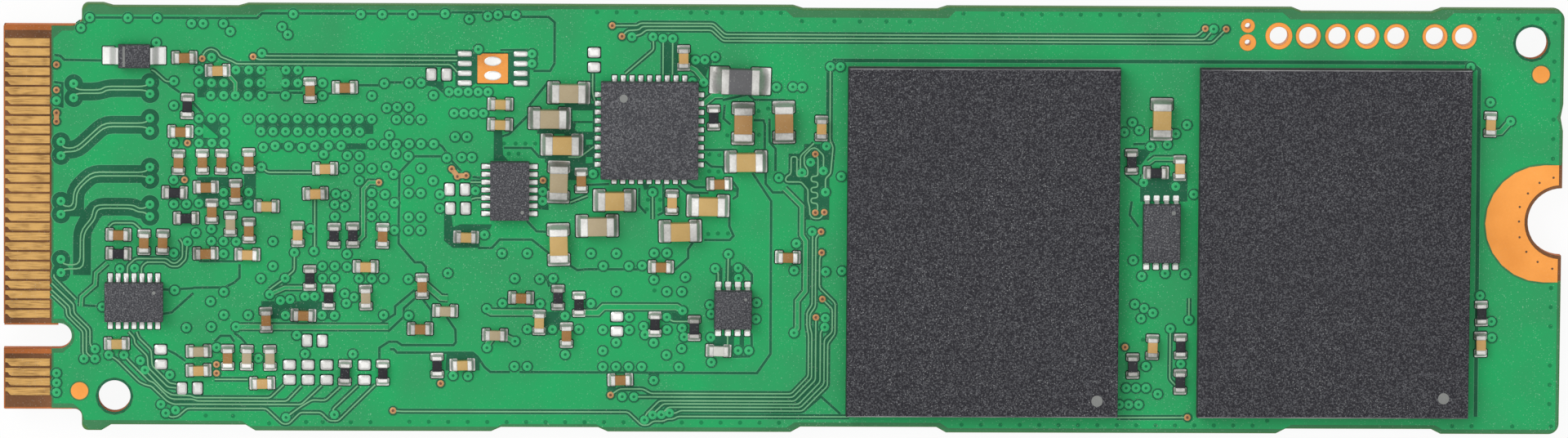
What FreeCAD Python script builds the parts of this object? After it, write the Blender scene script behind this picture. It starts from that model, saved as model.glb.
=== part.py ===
# A gumstick solid state drive: a bare circuit card 80 mm long and 22 mm wide
# that plugs into a slot by the gilded edge at one end and is held by one screw
# in the half-round notch at the other end.
#
# Frame: X runs along the card from the gilded edge to the screw notch, Y across
# it, Z up through it. The origin is under the middle of the card, on the
# surface that the card rests on with its back side down.
import FreeCAD
import Part

import math
import os

Vector = FreeCAD.Vector

# Card
board_length = 80.0
board_width = 22.0
board_thickness = 0.8
outer_corner_radius = 0.55
shoulder_corner_radius = 0.33
mask_thickness = 0.03
mask_setback = 0.05
mask_corner = 0.3
copper_thickness = 0.04

# Edge that plugs in
tongue_length = 4.0
shoulder_depth = 1.1
tongue_corner_radius = 0.25
tongue_root_radius = 0.38
contact_pitch = 0.5
contact_length = 2.3
contact_width = 0.38
contact_setback = 0.07
contact_clearance = 0.08
contact_chamfer = 0.2
contact_margin = 0.6
key_offset = 6.125
key_width = 1.3
key_depth = 3.48
key_margin = 1.0

# Screw notch and the bare copper around it
notch_radius = 1.75
land_radius = 3.03
land_inset = 0.91
land_offset = -0.09
land_sides = 24
bare_rim = 0.17

# Marks left where the card was broken from its panel
tab_slope = 0.5
edge_dent_depth = 0.13
edge_dent_half = 0.7
edge_dent_y = 5.4

# Holes
tooling_radius = 0.85
tooling_rim = 0.11
header_bore_radius = 0.475
header_rim = 0.175
first_header_rim = 0.225
header_pitch = 1.51
header_gap = 1.98
header_edge_distance = 1.44
header_end_distance = 5.15
probe_bore_radius = 0.15
probe_rims = (0.22, 0.29)
probe_spacing = 0.05
probe_distance = 1.6
probe_edge_distance = 0.92
tooling_edge_distance = 1.76
tooling_end_distances = (5.67, 1.67)
fiducial_radius = 0.45
fiducial_edge_distances = (2.03, 3.38)
fiducial_end_distances = (3.88, 1.17)
round_sides = 12

# Ball grid packages
flash_height = 1.15
flash_gap = 4.05
flash_clearance = 0.995
flash_end_distance = 4.75
flash_edge_distances = (0.905, 3.045)
controller_distance = 16.3
controller_side = 15.0
controller_height = flash_height
memory_length = 10.0
memory_width = 11.5
memory_height = 0.95
ball_standoff = 0.22
ball_radius = 0.22
ball_sides = 6
ball_inset = 0.9
ball_rows = 3
carrier_height = 0.2
cap_draft = 0.04

# Leadless and leaded packages
regulator_side = 5.0
regulator_height = 0.85
regulator_pads = 9
regulator_pitch = 0.45
regulator_toe = 0.3
logic_length = 3.0
logic_width = 2.0
logic_height = 0.8
logic_pads = 7
logic_pitch = 0.405
logic_toe = 0.44
toe_width = 0.25
toe_height = 0.2
switch_width = 1.96
switch_height = 0.8
switch_lengths = (2.04, 3.07)
switch_pins = 4
switch_pitch = 0.5
switch_reach = 0.25
lead_thickness = 0.12
lead_width = 0.25
diode_length = 1.65
diode_width = 1.25
diode_height = 0.75
diode_reach = 0.7
diode_lead_width = 0.88

# Chip parts: length, width and height of the chip, its metal band at each end,
# and the length and width that its solder covers
small_chip = (1.0, 0.52, 0.5, 0.25, 1.31, 0.65)
resistor_chip = (1.0, 0.52, 0.36, 0.23, 1.31, 0.65)
large_chip = (1.74, 0.95, 0.8, 0.4, 2.19, 1.14)
narrow_chip = (1.49, 0.72, 0.7, 0.34, 2.27, 1.08)
bead_chip = (1.97, 1.3, 0.9, 0.42, 3.15, 1.4)

# Sizes that follow from those above
tongue_width = board_width - 2 * shoulder_depth
mask_start = contact_setback + contact_length + contact_clearance
board_bottom = flash_height + mask_thickness
board_top = board_bottom + board_thickness
front_seat = board_top + mask_thickness
back_seat = board_bottom - mask_thickness


# Helpers

def rounded_outline(corners):
    """Closed wire through the corners (x, y, radius), each rounded by an arc."""
    points = [Vector(x, y, 0) for x, y, _ in corners]
    edges = []
    arrivals = []
    departures = []
    for i, (_, _, radius) in enumerate(corners):
        corner = points[i]
        to_last = (points[i - 1] - corner).normalize()
        to_next = (points[(i + 1) % len(points)] - corner).normalize()
        half = to_last.getAngle(to_next) / 2
        reach = radius / math.tan(half)
        start = corner + to_last * reach
        finish = corner + to_next * reach
        arrivals.append(start)
        departures.append(finish)
        if radius > 0:
            inward = (to_last + to_next).normalize()
            crown = corner + inward * (radius / math.sin(half) - radius)
            edges.append(Part.Arc(start, crown, finish).toShape())
    for i, start in enumerate(departures):
        finish = arrivals[(i + 1) % len(arrivals)]
        edges.append(Part.LineSegment(start, finish).toShape())
    return Part.Wire(Part.__sortEdges__(edges))


def plate(wire, bottom, thickness):
    """A flat plate with the wire's outline."""
    face = Part.Face(wire)
    face.translate(Vector(0, 0, bottom))
    return face.extrude(Vector(0, 0, thickness))


def block(length, width, bottom, height, x=0.0, y=0.0):
    """A box centred on x, y."""
    corner = Vector(x - length / 2, y - width / 2, bottom)
    return Part.makeBox(length, width, height, corner)


def drum(radius, bottom, height, x=0.0, y=0.0):
    """An upright cylinder."""
    return Part.makeCylinder(radius, height, Vector(x, y, bottom))


def slab(ring, height):
    """A flat solid that stands on a closed ring of level points."""
    face = Part.Face(Part.makePolygon(ring + ring[:1]))
    return face.extrude(Vector(0, 0, height))


def prism(radius, bottom, height, x=0.0, y=0.0, sides=round_sides, stretch=1.0):
    """An upright round or oval with flat sides, for what repeats often."""
    turns = [2 * math.pi * i / sides for i in range(sides)]
    ring = [Vector(x + stretch * radius * math.cos(turn), y + radius * math.sin(turn), bottom)
            for turn in turns]
    return slab(ring, height)


def rectangle(x, y, length, width, z):
    """Corners of a level rectangle, anticlockwise."""
    sides = ((-1, -1), (1, -1), (1, 1), (-1, 1))
    return [Vector(x + a * length / 2, y + b * width / 2, z) for a, b in sides]


def tapered(base, top):
    """A solid between two level rectangles, as rectangle() gives them."""
    rings = [base[::-1], top]
    for i in range(4):
        j = (i + 1) % 4
        rings.append([base[i], base[j], top[j], top[i]])
    faces = [Part.Face(Part.makePolygon(ring + ring[:1])) for ring in rings]
    return Part.Solid(Part.Shell(faces))


def drafted(length, width, bottom, height, draft):
    """A moulded block whose sides lean in by the draft on their way up."""
    base = rectangle(0, 0, length, width, bottom)
    top = rectangle(0, 0, length - 2 * draft, width - 2 * draft, bottom + height)
    return tapered(base, top)


def put(shape, x, y, side="front", turn=0.0):
    """A copy of a shape made about the origin, seated on one side of the card."""
    copy = shape.copy()
    copy.rotate(Vector(0, 0, 0), Vector(0, 0, 1), turn)
    if side == "back":
        copy.rotate(Vector(0, 0, 0), Vector(1, 0, 0), 180)
        copy.translate(Vector(x, y, back_seat))
    else:
        copy.translate(Vector(x, y, front_seat))
    return copy


def from_plug(distance):
    """Where along the card a thing stands, from its distance to the plug end."""
    return distance - board_length / 2


def from_screw(distance):
    """The same from the distance to the screw end."""
    return board_length / 2 - distance


def group(shapes):
    """Separate solids kept as one node."""
    solids = [solid for shape in shapes for solid in shape.Solids]
    return Part.makeCompound(solids)


# Card outline, holes and coatings

# Shallow steps in the long edges: the end that each is measured from, where it
# starts and stops, and its depth
top_steps = [(from_plug, 5.6, 12.0, 0.14), (from_screw, 39.1, 32.2, 0.16),
             (from_screw, 13.5, 6.8, 0.2)]
bottom_steps = [(from_plug, 5.5, 12.4, 0.3), (from_plug, 25.5, 30.5, 0.22),
                (from_screw, 39.1, 32.1, 0.28), (from_screw, 14.1, 6.6, 0.25)]


def step_corners(steps, edge_y, inward):
    """Corners of the steps along one long edge, from left to right."""
    corners = []
    for anchor, start, end, depth in steps:
        inner_y = edge_y + inward * depth
        corners.append((anchor(start) - tab_slope, edge_y, 0))
        corners.append((anchor(start), inner_y, 0))
        corners.append((anchor(end), inner_y, 0))
        corners.append((anchor(end) + tab_slope, edge_y, 0))
    return corners


def dent_corners(right):
    """The small nick in the screw end of the card."""
    return [(right, edge_dent_y - edge_dent_half, 0),
            (right - edge_dent_depth, edge_dent_y, 0),
            (right, edge_dent_y + edge_dent_half, 0)]


def card_outline():
    """Outline of the card without its two notches."""
    left = -board_length / 2
    right = board_length / 2
    shoulder = left + tongue_length
    edge = board_width / 2
    tongue = tongue_width / 2
    corners = [(left, -tongue, tongue_corner_radius)]
    corners.append((shoulder, -tongue, tongue_root_radius))
    corners.append((shoulder, -edge, shoulder_corner_radius))
    corners += step_corners(bottom_steps, -edge, 1)
    corners.append((right, -edge, outer_corner_radius))
    corners += dent_corners(right)
    corners.append((right, edge, outer_corner_radius))
    corners += step_corners(top_steps, edge, -1)[::-1]
    corners.append((shoulder, edge, shoulder_corner_radius))
    corners.append((shoulder, tongue, tongue_root_radius))
    corners.append((left, tongue, tongue_corner_radius))
    return rounded_outline(corners)


def mask_outline():
    """Outline of a coat: a little inside the card, with its corners cut straight."""
    left = -board_length / 2 + mask_start
    right = board_length / 2 - mask_setback
    shoulder = -board_length / 2 + tongue_length + mask_setback
    edge = board_width / 2 - mask_setback
    tongue = tongue_width / 2 - mask_setback
    cut = mask_corner
    lower = [(left, -tongue), (shoulder - cut, -tongue), (shoulder, -tongue - cut),
             (shoulder, cut - edge), (shoulder + cut, -edge)]
    lower += [(x, y) for x, y, _ in step_corners(bottom_steps, -edge, 1)]
    lower += [(right - cut, -edge), (right, cut - edge)]
    upper = [(x, y) for x, y, _ in dent_corners(right)]
    upper += [(right, edge - cut), (right - cut, edge)]
    upper += [(x, y) for x, y, _ in step_corners(top_steps, edge, -1)[::-1]]
    upper += [(shoulder + cut, edge), (shoulder, edge - cut),
              (shoulder, tongue + cut), (shoulder - cut, tongue), (left, tongue)]
    return [Vector(x, y, 0) for x, y in lower + upper]


def key_notch(bottom, height):
    """The slot between the contacts that fits the socket's key."""
    left = -board_length / 2
    tip_radius = key_width / 2
    straight = key_depth - tip_radius
    slot = block(2 * straight, key_width, bottom, height, left, -key_offset)
    return slot.fuse(drum(tip_radius, bottom, height, left + straight, -key_offset))


def header_places():
    """Holes for a pin header: five in a row, a wider gap, and two more."""
    y = board_width / 2 - header_edge_distance
    last = board_length / 2 - header_end_distance
    places = [last - i * header_pitch for i in range(2)]
    places += [places[-1] - header_gap - i * header_pitch for i in range(5)]
    return [(x, y) for x in sorted(places)]


def header_rims():
    """Width of the copper around each header hole."""
    return [first_header_rim] + [header_rim] * (len(header_places()) - 1)


def probe_places():
    """Two small plated holes beside the header, rim next to rim."""
    x = header_places()[0][0] - probe_distance
    outer_y = board_width / 2 - probe_edge_distance
    step = 2 * probe_bore_radius + sum(probe_rims) + probe_spacing
    return [(x, outer_y), (x, outer_y - step)]


def tooling_places():
    """Two plain holes that located the card while it was assembled."""
    plug_side, screw_side = tooling_end_distances
    y = board_width / 2 - tooling_edge_distance
    return [(from_plug(plug_side), -y), (from_screw(screw_side), y)]


def fiducial_places():
    """Two round copper marks that the placing machine lined up on."""
    plug_side, screw_side = fiducial_end_distances
    lower, upper = fiducial_edge_distances
    return [(from_plug(plug_side), lower - board_width / 2),
            (from_screw(screw_side), board_width / 2 - upper)]


def barrel_rings():
    """Every plated hole as x, y, bore radius and outer radius."""
    rings = []
    for (x, y), rim in zip(header_places(), header_rims()):
        rings.append((x, y, header_bore_radius, header_bore_radius + rim))
    for (x, y), rim in zip(probe_places(), probe_rims):
        rings.append((x, y, probe_bore_radius, probe_bore_radius + rim))
    return rings


def land_blank(bottom, height, overhang):
    """The rounded patch around the screw notch, run on past the card's end."""
    end = board_length / 2
    centre = end - land_inset
    reach = land_inset + overhang
    disc = prism(land_radius, bottom, height, centre, land_offset, land_sides)
    strip = block(reach, 2 * land_radius, bottom, height, centre + reach / 2, land_offset)
    past_end = block(land_radius, 3 * land_radius, bottom, height,
                     end + overhang + land_radius / 2, land_offset)
    return disc.fuse(strip).cut(past_end)


def circuit_board():
    """The glass fibre card with its notches and drilled holes."""
    card = plate(card_outline(), board_bottom, board_thickness)
    cutters = [key_notch(board_bottom, board_thickness)]
    cutters.append(drum(notch_radius, board_bottom, board_thickness, board_length / 2))
    for x, y in tooling_places():
        cutters.append(drum(tooling_radius, board_bottom, board_thickness, x, y))
    for x, y, _, outer in barrel_rings():
        cutters.append(prism(outer, board_bottom, board_thickness, x, y))
    return card.cut(cutters)


def solder_mask(bottom, opened_fiducials):
    """The green coat of one side, open at the plug, the screw and the holes."""
    coat = slab(mask_outline(), mask_thickness)
    coat.translate(Vector(0, 0, bottom))
    cutters = [key_notch(bottom, mask_thickness)]
    cutters.append(land_blank(bottom, mask_thickness, notch_radius))
    for x, y in tooling_places():
        cutters.append(prism(tooling_radius + tooling_rim, bottom, mask_thickness, x, y))
    for x, y, _, outer in barrel_rings():
        cutters.append(prism(outer, bottom, mask_thickness, x, y))
    for x, y in opened_fiducials:
        cutters.append(prism(fiducial_radius, bottom, mask_thickness, x, y))
    return coat.cut(cutters)


# Copper

def screw_land(bottom):
    """The bare copper that the screw head or the stand-off presses on."""
    land = land_blank(bottom, copper_thickness, -bare_rim)
    return land.cut(drum(notch_radius + bare_rim, bottom, copper_thickness, board_length / 2))


def contact():
    """One gilded finger, its outer corner cut off towards the plug edge."""
    half = contact_width / 2
    corners = [(contact_chamfer, -half), (contact_length, -half), (contact_length, half),
               (0, half), (0, contact_chamfer - half)]
    return slab([Vector(x, y, 0) for x, y in corners], copper_thickness)


def contact_rows(side):
    """Where across the card the fingers of one side stand: on the middle line at
    the front, half a pitch off it at the back, and none beside the key notch."""
    shift = 0.5 if side == "back" else 0.0
    reach = tongue_width / 2 - contact_margin
    steps = int(reach / contact_pitch) + 1
    rows = [(step + shift) * contact_pitch for step in range(-steps, steps + 1)]
    return [y for y in rows if abs(y) <= reach and abs(y + key_offset) > key_margin]


def edge_contacts(side):
    """The row of fingers of one side."""
    start = contact_setback - board_length / 2
    fingers = []
    for y in contact_rows(side):
        finger = contact()
        if side == "back":
            finger.rotate(Vector(0, 0, 0), Vector(1, 0, 0), 180)
        level = board_bottom if side == "back" else board_top
        finger.translate(Vector(start, y, level))
        fingers.append(finger)
    return group(fingers)


def barrels(rings):
    """Plated hole linings with the copper rims that show on both sides."""
    proud = copper_thickness - mask_thickness
    bottom = back_seat - proud
    height = front_seat + proud - bottom
    return group([prism(outer, bottom, height, x, y).cut(prism(bore, bottom, height, x, y))
                  for x, y, bore, outer in rings])


def fiducials():
    """The round alignment marks of the front side."""
    return group([prism(fiducial_radius, board_top, copper_thickness, x, y)
                  for x, y in fiducial_places()])


def solder_pad(length, width):
    """A bare pad with a low crown of solder."""
    crown = 0.07
    inset = 0.1
    base = rectangle(0, 0, length, width, 0)
    return tapered(base, rectangle(0, 0, length - inset, width - inset, crown))


bare_pad_length = 0.62
bare_pad_width = 0.5
bare_pads_across = [
    (8.03, -6.82), (8.05, -7.58), (30.2, 8.58), (30.2, 7.82), (31.44, -5.04),
    (31.44, -5.8), (14.64, -7.59), (15.59, -7.59), (16.55, -7.59), (18.49, -7.59),
    (14.64, -8.36), (15.59, -8.36), (16.55, -8.36), (18.49, -8.36)]
bare_pads_along = [
    (9.13, -8.83), (9.93, -8.82), (15.54, -6.33), (16.32, -6.34), (21.87, 7.42),
    (22.65, 7.42), (22.82, 1.5), (23.62, 1.5), (22.86, 0.52), (23.65, 0.52)]


def bare_pads():
    """Pads of parts that were left off this card."""
    pad = solder_pad(bare_pad_length, bare_pad_width)
    pads = [put(pad, from_plug(x), y) for x, y in bare_pads_across]
    pads += [put(pad, from_plug(x), y, turn=90) for x, y in bare_pads_along]
    return group(pads)


footprint_centre = (from_plug(25.01), 7.74)
footprint_pad = (0.7, 0.28)
footprint_row_offset = 1.43
footprint_pitch = 0.5
footprint_rows = 4
slug_length = 1.57
slug_width = 1.53
slug_dab = (0.88, 0.49)
slug_dab_offset = 0.37


def footprint_pads():
    """The two rows of pads of the package that was left off."""
    x, y = footprint_centre
    pad = solder_pad(*footprint_pad)
    pads = []
    for row in range(footprint_rows):
        row_y = y + (row - (footprint_rows - 1) / 2) * footprint_pitch
        pads.append(put(pad, x - footprint_row_offset, row_y))
        pads.append(put(pad, x + footprint_row_offset, row_y))
    return group(pads)


def footprint_slug():
    """The bare copper between those rows."""
    x, y = footprint_centre
    return block(slug_length, slug_width, front_seat, copper_thickness, x, y)


def footprint_dabs():
    """Two flat ovals of solder on that copper."""
    length, width = slug_dab
    dab = prism(width / 2, copper_thickness, copper_thickness, stretch=length / width)
    x, y = footprint_centre
    return group([put(dab, x, y + slug_dab_offset), put(dab, x, y - slug_dab_offset)])


# Ball grid packages

def package_cap(length, width, height):
    """The black moulded cap of a package."""
    bottom = ball_standoff + carrier_height
    return drafted(length, width, bottom, height - bottom, cap_draft)


def package_carrier(length, width):
    """The thin board inside the package that carries its balls."""
    return block(length, width, ball_standoff, carrier_height)


def ball_grid(length, width):
    """The balls under the two long edges, each squeezed into a six-sided drum."""
    across = width / 2 - ball_inset
    along = length / 2 - ball_inset
    balls = []
    for row in range(ball_rows):
        y = across * (2 * row / (ball_rows - 1) - 1)
        for x in (-along, along):
            balls.append(prism(ball_radius, 0, ball_standoff, x, y, ball_sides))
    return group(balls)


# Leadless and leaded packages

def toes(count, pitch, edge, toe):
    """A row of solder toes that slope down from one edge of a leadless package."""
    profile = [(edge, 0), (edge + toe, 0), (edge, toe_height)]
    shapes = []
    for i in range(count):
        start = (i - (count - 1) / 2) * pitch - toe_width / 2
        ring = [Vector(start, y, z) for y, z in profile]
        face = Part.Face(Part.makePolygon(ring + ring[:1]))
        shapes.append(face.extrude(Vector(toe_width, 0, 0)))
    return shapes


def leadless_toes(length, width, along, across, pitch, toe):
    """Toes on all edges that have any, for a package centred on the origin."""
    shapes = []
    for turn, count, edge in ((0, along, width / 2), (90, across, length / 2),
                              (180, along, width / 2), (270, across, length / 2)):
        for shape in toes(count, pitch, edge, toe):
            shape.rotate(Vector(0, 0, 0), Vector(0, 0, 1), turn)
            shapes.append(shape)
    return group(shapes)


def gull_lead(edge, reach, rise, width):
    """A lead that leaves the body level, bends down and ends in a flat foot."""
    ankle = edge + reach / 2
    end = edge + reach
    step = lead_thickness
    profile = [(edge, rise), (ankle, 0), (end, 0), (end, step), (ankle, step),
               (edge, rise + step)]
    ring = [Vector(-width / 2, y, z) for y, z in profile]
    face = Part.Face(Part.makePolygon(ring + ring[:1]))
    return face.extrude(Vector(width, 0, 0))


def gull_rows(count, pitch, edge, reach, rise, width):
    """Leads in a row along the two opposite edges."""
    shapes = []
    for turn in (0, 180):
        for i in range(count):
            lead = gull_lead(edge, reach, rise, width)
            lead.translate(Vector((i - (count - 1) / 2) * pitch, 0, 0))
            lead.rotate(Vector(0, 0, 0), Vector(0, 0, 1), turn)
            shapes.append(lead)
    return group(shapes)


# Places of the parts by the plug end, from that end and from the middle line.
# H lies along the card, V across it.

regulator_place = (from_plug(33.05), 4.62)
left_logic_place = (from_plug(6.67), -4.32)
centre_logic_place = (from_plug(25.9), 1.48)
near_switch_place = (from_plug(37.39), -4.62)
diode_place = (from_plug(6.68), 8.34)
bead_place = (from_plug(37.68), 7.16)
brown_small = [
    (9.25, 8.25, "H"), (9.05, 4.43, "H"), (8.95, 2.85, "V"), (5.87, -0.88, "H"),
    (15.66, 6.58, "V"), (17.46, 6.75, "H"), (10.17, 2.88, "V"), (11.14, 2.88, "V"),
    (12.53, 2.92, "V"), (10.35, 1.59, "H"), (11.86, 1.33, "V"), (10.65, 0.34, "V"),
    (12.55, -0.66, "V"), (10.35, -1.84, "H"), (19.41, -0.9, "V"), (15.35, -5.02, "H"),
    (13.45, -5.26, "V"), (11.48, -7.22, "V"), (29.58, 2.0, "V"), (21.44, -3.5, "V"),
    (21.35, -5.7, "H"), (26.51, -4.09, "H"), (28.86, -5.99, "V"), (36.66, 1.84, "H"),
    (33.68, -2.45, "H"), (31.62, -8.31, "H"), (40.19, -1.94, "H"), (7.17, -1.27, "V"),
    (8.13, -1.27, "V")]
ochre_small = [
    (10.93, 7.58, "H"), (16.45, 2.57, "H"), (15.95, 1.28, "H"), (12.48, -1.89, "H"),
    (15.04, -0.83, "V"), (18.54, -2.5, "H"), (9.97, -7.88, "H"), (13.24, -8.53, "H"),
    (34.79, 8.32, "V"), (34.22, 0.88, "V"), (41.88, 4.72, "V")]
tan_small = [
    (5.8, -6.5, "H"), (13.45, 0.62, "H"), (25.4, 5.91, "H"), (25.4, 4.86, "H"),
    (23.67, -0.96, "H"), (27.44, -5.34, "V"), (23.51, -7.56, "H")]
grey_small = [
    (11.61, -0.3, "V"), (18.54, -4.08, "V"), (25.17, -5.99, "H"), (9.98, -6.88, "H"),
    (12.46, -7.22, "V"), (13.65, -7.23, "V"), (22.63, -4.77, "H")]
white_small = [(36.67, -6.77, "H")]
resistors = [
    (9.4, 5.75, "V"), (8.75, 1.3, "H"), (9.35, -0.03, "H"), (5.87, -1.85, "H"),
    (16.91, -0.9, "V"), (17.88, -0.86, "V"), (15.67, -3.08, "V"), (16.65, -4.07, "V"),
    (17.49, -7.99, "V"), (19.43, -7.98, "V"), (28.4, -4.06, "V"), (29.49, -4.4, "V"),
    (22.21, -7.61, "V"), (33.38, -5.43, "V"), (35.4, -5.64, "V"), (36.53, 5.25, "V")]
grey_large = [(27.93, 5.18, "H"), (28.41, 1.91, "V"), (28.9, 6.5, "H"), (30.4, -0.34, "H")]
tan_large = [
    (28.57, 3.82, "H"), (28.43, -1.33, "V"), (31.28, 0.97, "H"), (36.08, 0.71, "H"),
    (34.66, -0.6, "H"), (38.0, 3.0, "H")]
brown_large = [(37.85, 4.95, "V"), (39.95, 5.03, "V")]

near_capacitors = brown_small + ochre_small + tan_small + grey_small + white_small
near_large = grey_large + tan_large + brown_large

# The two flash packages fill the rest of the card: from the last of the parts
# above to the screw end, and from the lower edge to the row of header holes.
last_part = max(x for x, _, _ in near_capacitors) + small_chip[5] / 2
flash_start = from_plug(last_part + flash_clearance)
flash_end = from_screw(flash_end_distance)
flash_length = (flash_end - flash_start - flash_gap) / 2
flash_width = board_width - sum(flash_edge_distances)
flash_y = (flash_edge_distances[0] - flash_edge_distances[1]) / 2
flash_places = [(flash_start + flash_length / 2, flash_y),
                (flash_end - flash_length / 2, flash_y)]


def from_gap(offset):
    """Where along the card a thing stands, from the middle of the gap between them."""
    return (flash_start + flash_end) / 2 + offset


# Places in that gap and by the screw end
far_switch_place = (from_gap(0.15), -0.6)
gap_small = [(1.07, 2.74, "V"), (-0.23, -6.54, "V")]
screw_small = [(3.75, 5.05, "V"), (4.1, -6.35, "V")]
gap_resistors = [
    (-1.41, 3.06, "V"), (1.2, -6.5, "V"), (-1.23, -7.51, "V"), (1.2, -8.32, "V"),
    (-0.15, 2.63, "H")]
screw_resistors = [(4.07, -4.74, "V")]
gap_narrow = [(0.12, 5.25, "V")]

# Back side: the controller, the memory halfway from it to the flash packages,
# and capacitors beside them
controller_place = (from_plug(controller_distance), 0.6)
controller_end = controller_place[0] + controller_side / 2
memory_place = ((controller_end + flash_start) / 2, 0.3)
memory_start = memory_place[0] - memory_length / 2
back_columns = [(from_plug(6.6), (5.6, -3.4)), ((controller_end + memory_start) / 2, (3.4, -4.4)),
                (from_gap(0), (5.0, -3.6, -7.2))]


def chip_core(chip):
    """The part of a chip that shows between its metal ends."""
    length, width, height, band, _, _ = chip
    return block(length - 2 * band, width, 0, height)


def chip_ends(chip):
    """The two metal ends, each widening into its solder towards the card."""
    length, width, height, band, solder_length, solder_width = chip
    foot = band + (solder_length - length) / 2
    ends = []
    for sign in (-1, 1):
        inner = sign * (length / 2 - band)
        base = rectangle(inner + sign * foot / 2, 0, foot, solder_width, 0)
        top = rectangle(inner + sign * band / 2, 0, band, width, height)
        ends.append(tapered(base, top))
    return group(ends)


def chips(shape_of, chip, near, gap=(), screw=()):
    """One kind of chip piece at places by the plug end, in the gap and by the screw end."""
    shape = shape_of(chip)
    turns = {"H": 0, "V": 90}
    copies = []
    for places, anchor in ((near, from_plug), (gap, from_gap), (screw, from_screw)):
        copies += [put(shape, anchor(x), y, turn=turns[way]) for x, y, way in places]
    return group(copies)


def back_chips(shape_of):
    """One kind of chip piece in the columns of the back side."""
    shape = shape_of(small_chip)
    return group([put(shape, x, y, "back", 90) for x, rows in back_columns for y in rows])


def build_nodes():
    """Every node of the drive by name."""
    nodes = {"circuit_board": circuit_board()}
    nodes["front_solder_mask"] = solder_mask(board_top, fiducial_places())
    nodes["back_solder_mask"] = solder_mask(back_seat, [])
    nodes["front_edge_contacts"] = edge_contacts("front")
    nodes["back_edge_contacts"] = edge_contacts("back")
    nodes["front_screw_land"] = screw_land(board_top)
    nodes["back_screw_land"] = screw_land(board_bottom - copper_thickness)
    nodes["plated_barrels"] = barrels(barrel_rings())
    nodes["fiducial_marks"] = fiducials()
    nodes["bare_solder_pads"] = bare_pads()
    nodes["footprint_pads"] = footprint_pads()
    nodes["footprint_slug"] = footprint_slug()
    nodes["footprint_solder_dabs"] = footprint_dabs()

    grid_packages = []
    for side in ("front", "back"):
        for end, place in zip(("inner", "outer"), flash_places):
            grid_packages.append((side + "_" + end + "_flash", place, side,
                                  flash_length, flash_width, flash_height))
    grid_packages.append(("controller", controller_place, "back",
                          controller_side, controller_side, controller_height))
    grid_packages.append(("memory", memory_place, "back",
                          memory_length, memory_width, memory_height))
    for name, (x, y), side, length, width, height in grid_packages:
        nodes[name + "_cap"] = put(package_cap(length, width, height), x, y, side)
        nodes[name + "_carrier"] = put(package_carrier(length, width), x, y, side)
        nodes[name + "_balls"] = put(ball_grid(length, width), x, y, side)

    body = block(regulator_side, regulator_side, 0, regulator_height)
    nodes["regulator_body"] = put(body, *regulator_place)
    pads = leadless_toes(regulator_side, regulator_side, regulator_pads, regulator_pads,
                         regulator_pitch, regulator_toe)
    nodes["regulator_toes"] = put(pads, *regulator_place)
    body = block(logic_length, logic_width, 0, logic_height)
    pads = leadless_toes(logic_length, logic_width, logic_pads, 0, logic_pitch, logic_toe)
    for name, place, turn in (("left_logic", left_logic_place, 0),
                              ("centre_logic", centre_logic_place, 90)):
        nodes[name + "_body"] = put(body, *place, turn=turn)
        nodes[name + "_toes"] = put(pads, *place, turn=turn)
    rise = (switch_height - lead_thickness) / 2
    for name, place, length in (("near_switch", near_switch_place, switch_lengths[0]),
                                ("far_switch", far_switch_place, switch_lengths[1])):
        body = block(switch_width, length, 0, switch_height)
        leads = gull_rows(switch_pins, switch_pitch, length / 2, switch_reach, rise, lead_width)
        nodes[name + "_body"] = put(body, *place)
        nodes[name + "_leads"] = put(leads, *place)
    body = block(diode_width, diode_length, 0, diode_height)
    rise = (diode_height - lead_thickness) / 2
    leads = gull_rows(1, 0, diode_length / 2, diode_reach, rise, diode_lead_width)
    nodes["diode_body"] = put(body, *diode_place, turn=90)
    nodes["diode_leads"] = put(leads, *diode_place, turn=90)

    nodes["brown_capacitors"] = chips(chip_core, small_chip, brown_small)
    nodes["ochre_capacitors"] = chips(chip_core, small_chip, ochre_small, gap_small, screw_small)
    nodes["tan_capacitors"] = chips(chip_core, small_chip, tan_small)
    nodes["grey_capacitors"] = chips(chip_core, small_chip, grey_small)
    nodes["white_chip"] = chips(chip_core, small_chip, white_small)
    nodes["small_capacitor_ends"] = chips(chip_ends, small_chip, near_capacitors,
                                          gap_small, screw_small)
    resistor_places = (resistors, gap_resistors, screw_resistors)
    nodes["resistor_cores"] = chips(chip_core, resistor_chip, *resistor_places)
    nodes["resistor_ends"] = chips(chip_ends, resistor_chip, *resistor_places)
    nodes["grey_large_capacitors"] = chips(chip_core, large_chip, grey_large)
    cores = chips(chip_core, large_chip, tan_large)
    narrow_core = chips(chip_core, narrow_chip, [], gap_narrow)
    nodes["tan_large_capacitors"] = group([cores, narrow_core])
    nodes["brown_large_capacitors"] = chips(chip_core, large_chip, brown_large)
    ends = chips(chip_ends, large_chip, near_large)
    narrow_ends = chips(chip_ends, narrow_chip, [], gap_narrow)
    nodes["large_capacitor_ends"] = group([ends, narrow_ends])
    nodes["bead_core"] = put(chip_core(bead_chip), *bead_place)
    nodes["bead_ends"] = put(chip_ends(bead_chip), *bead_place)
    nodes["back_capacitors"] = back_chips(chip_core)
    nodes["back_capacitor_ends"] = back_chips(chip_ends)
    return nodes


def main():
    """Writes one STEP file for each node."""
    os.makedirs("parts", exist_ok=True)
    for name, shape in build_nodes().items():
        shape.exportStep("parts/" + name + ".step")


main()
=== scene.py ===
"""Gumstick solid state drive: its looks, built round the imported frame.

All sizes are in millimetres and turn into metres when a mesh is stored. X runs
along the card from the gilded edge to the screw notch, Y across it, Z up.
"""
import logging
import math
from dataclasses import dataclass, field
from enum import Enum

import bpy
import numpy as np
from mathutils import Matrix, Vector
from mathutils.geometry import tessellate_polygon


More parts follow.
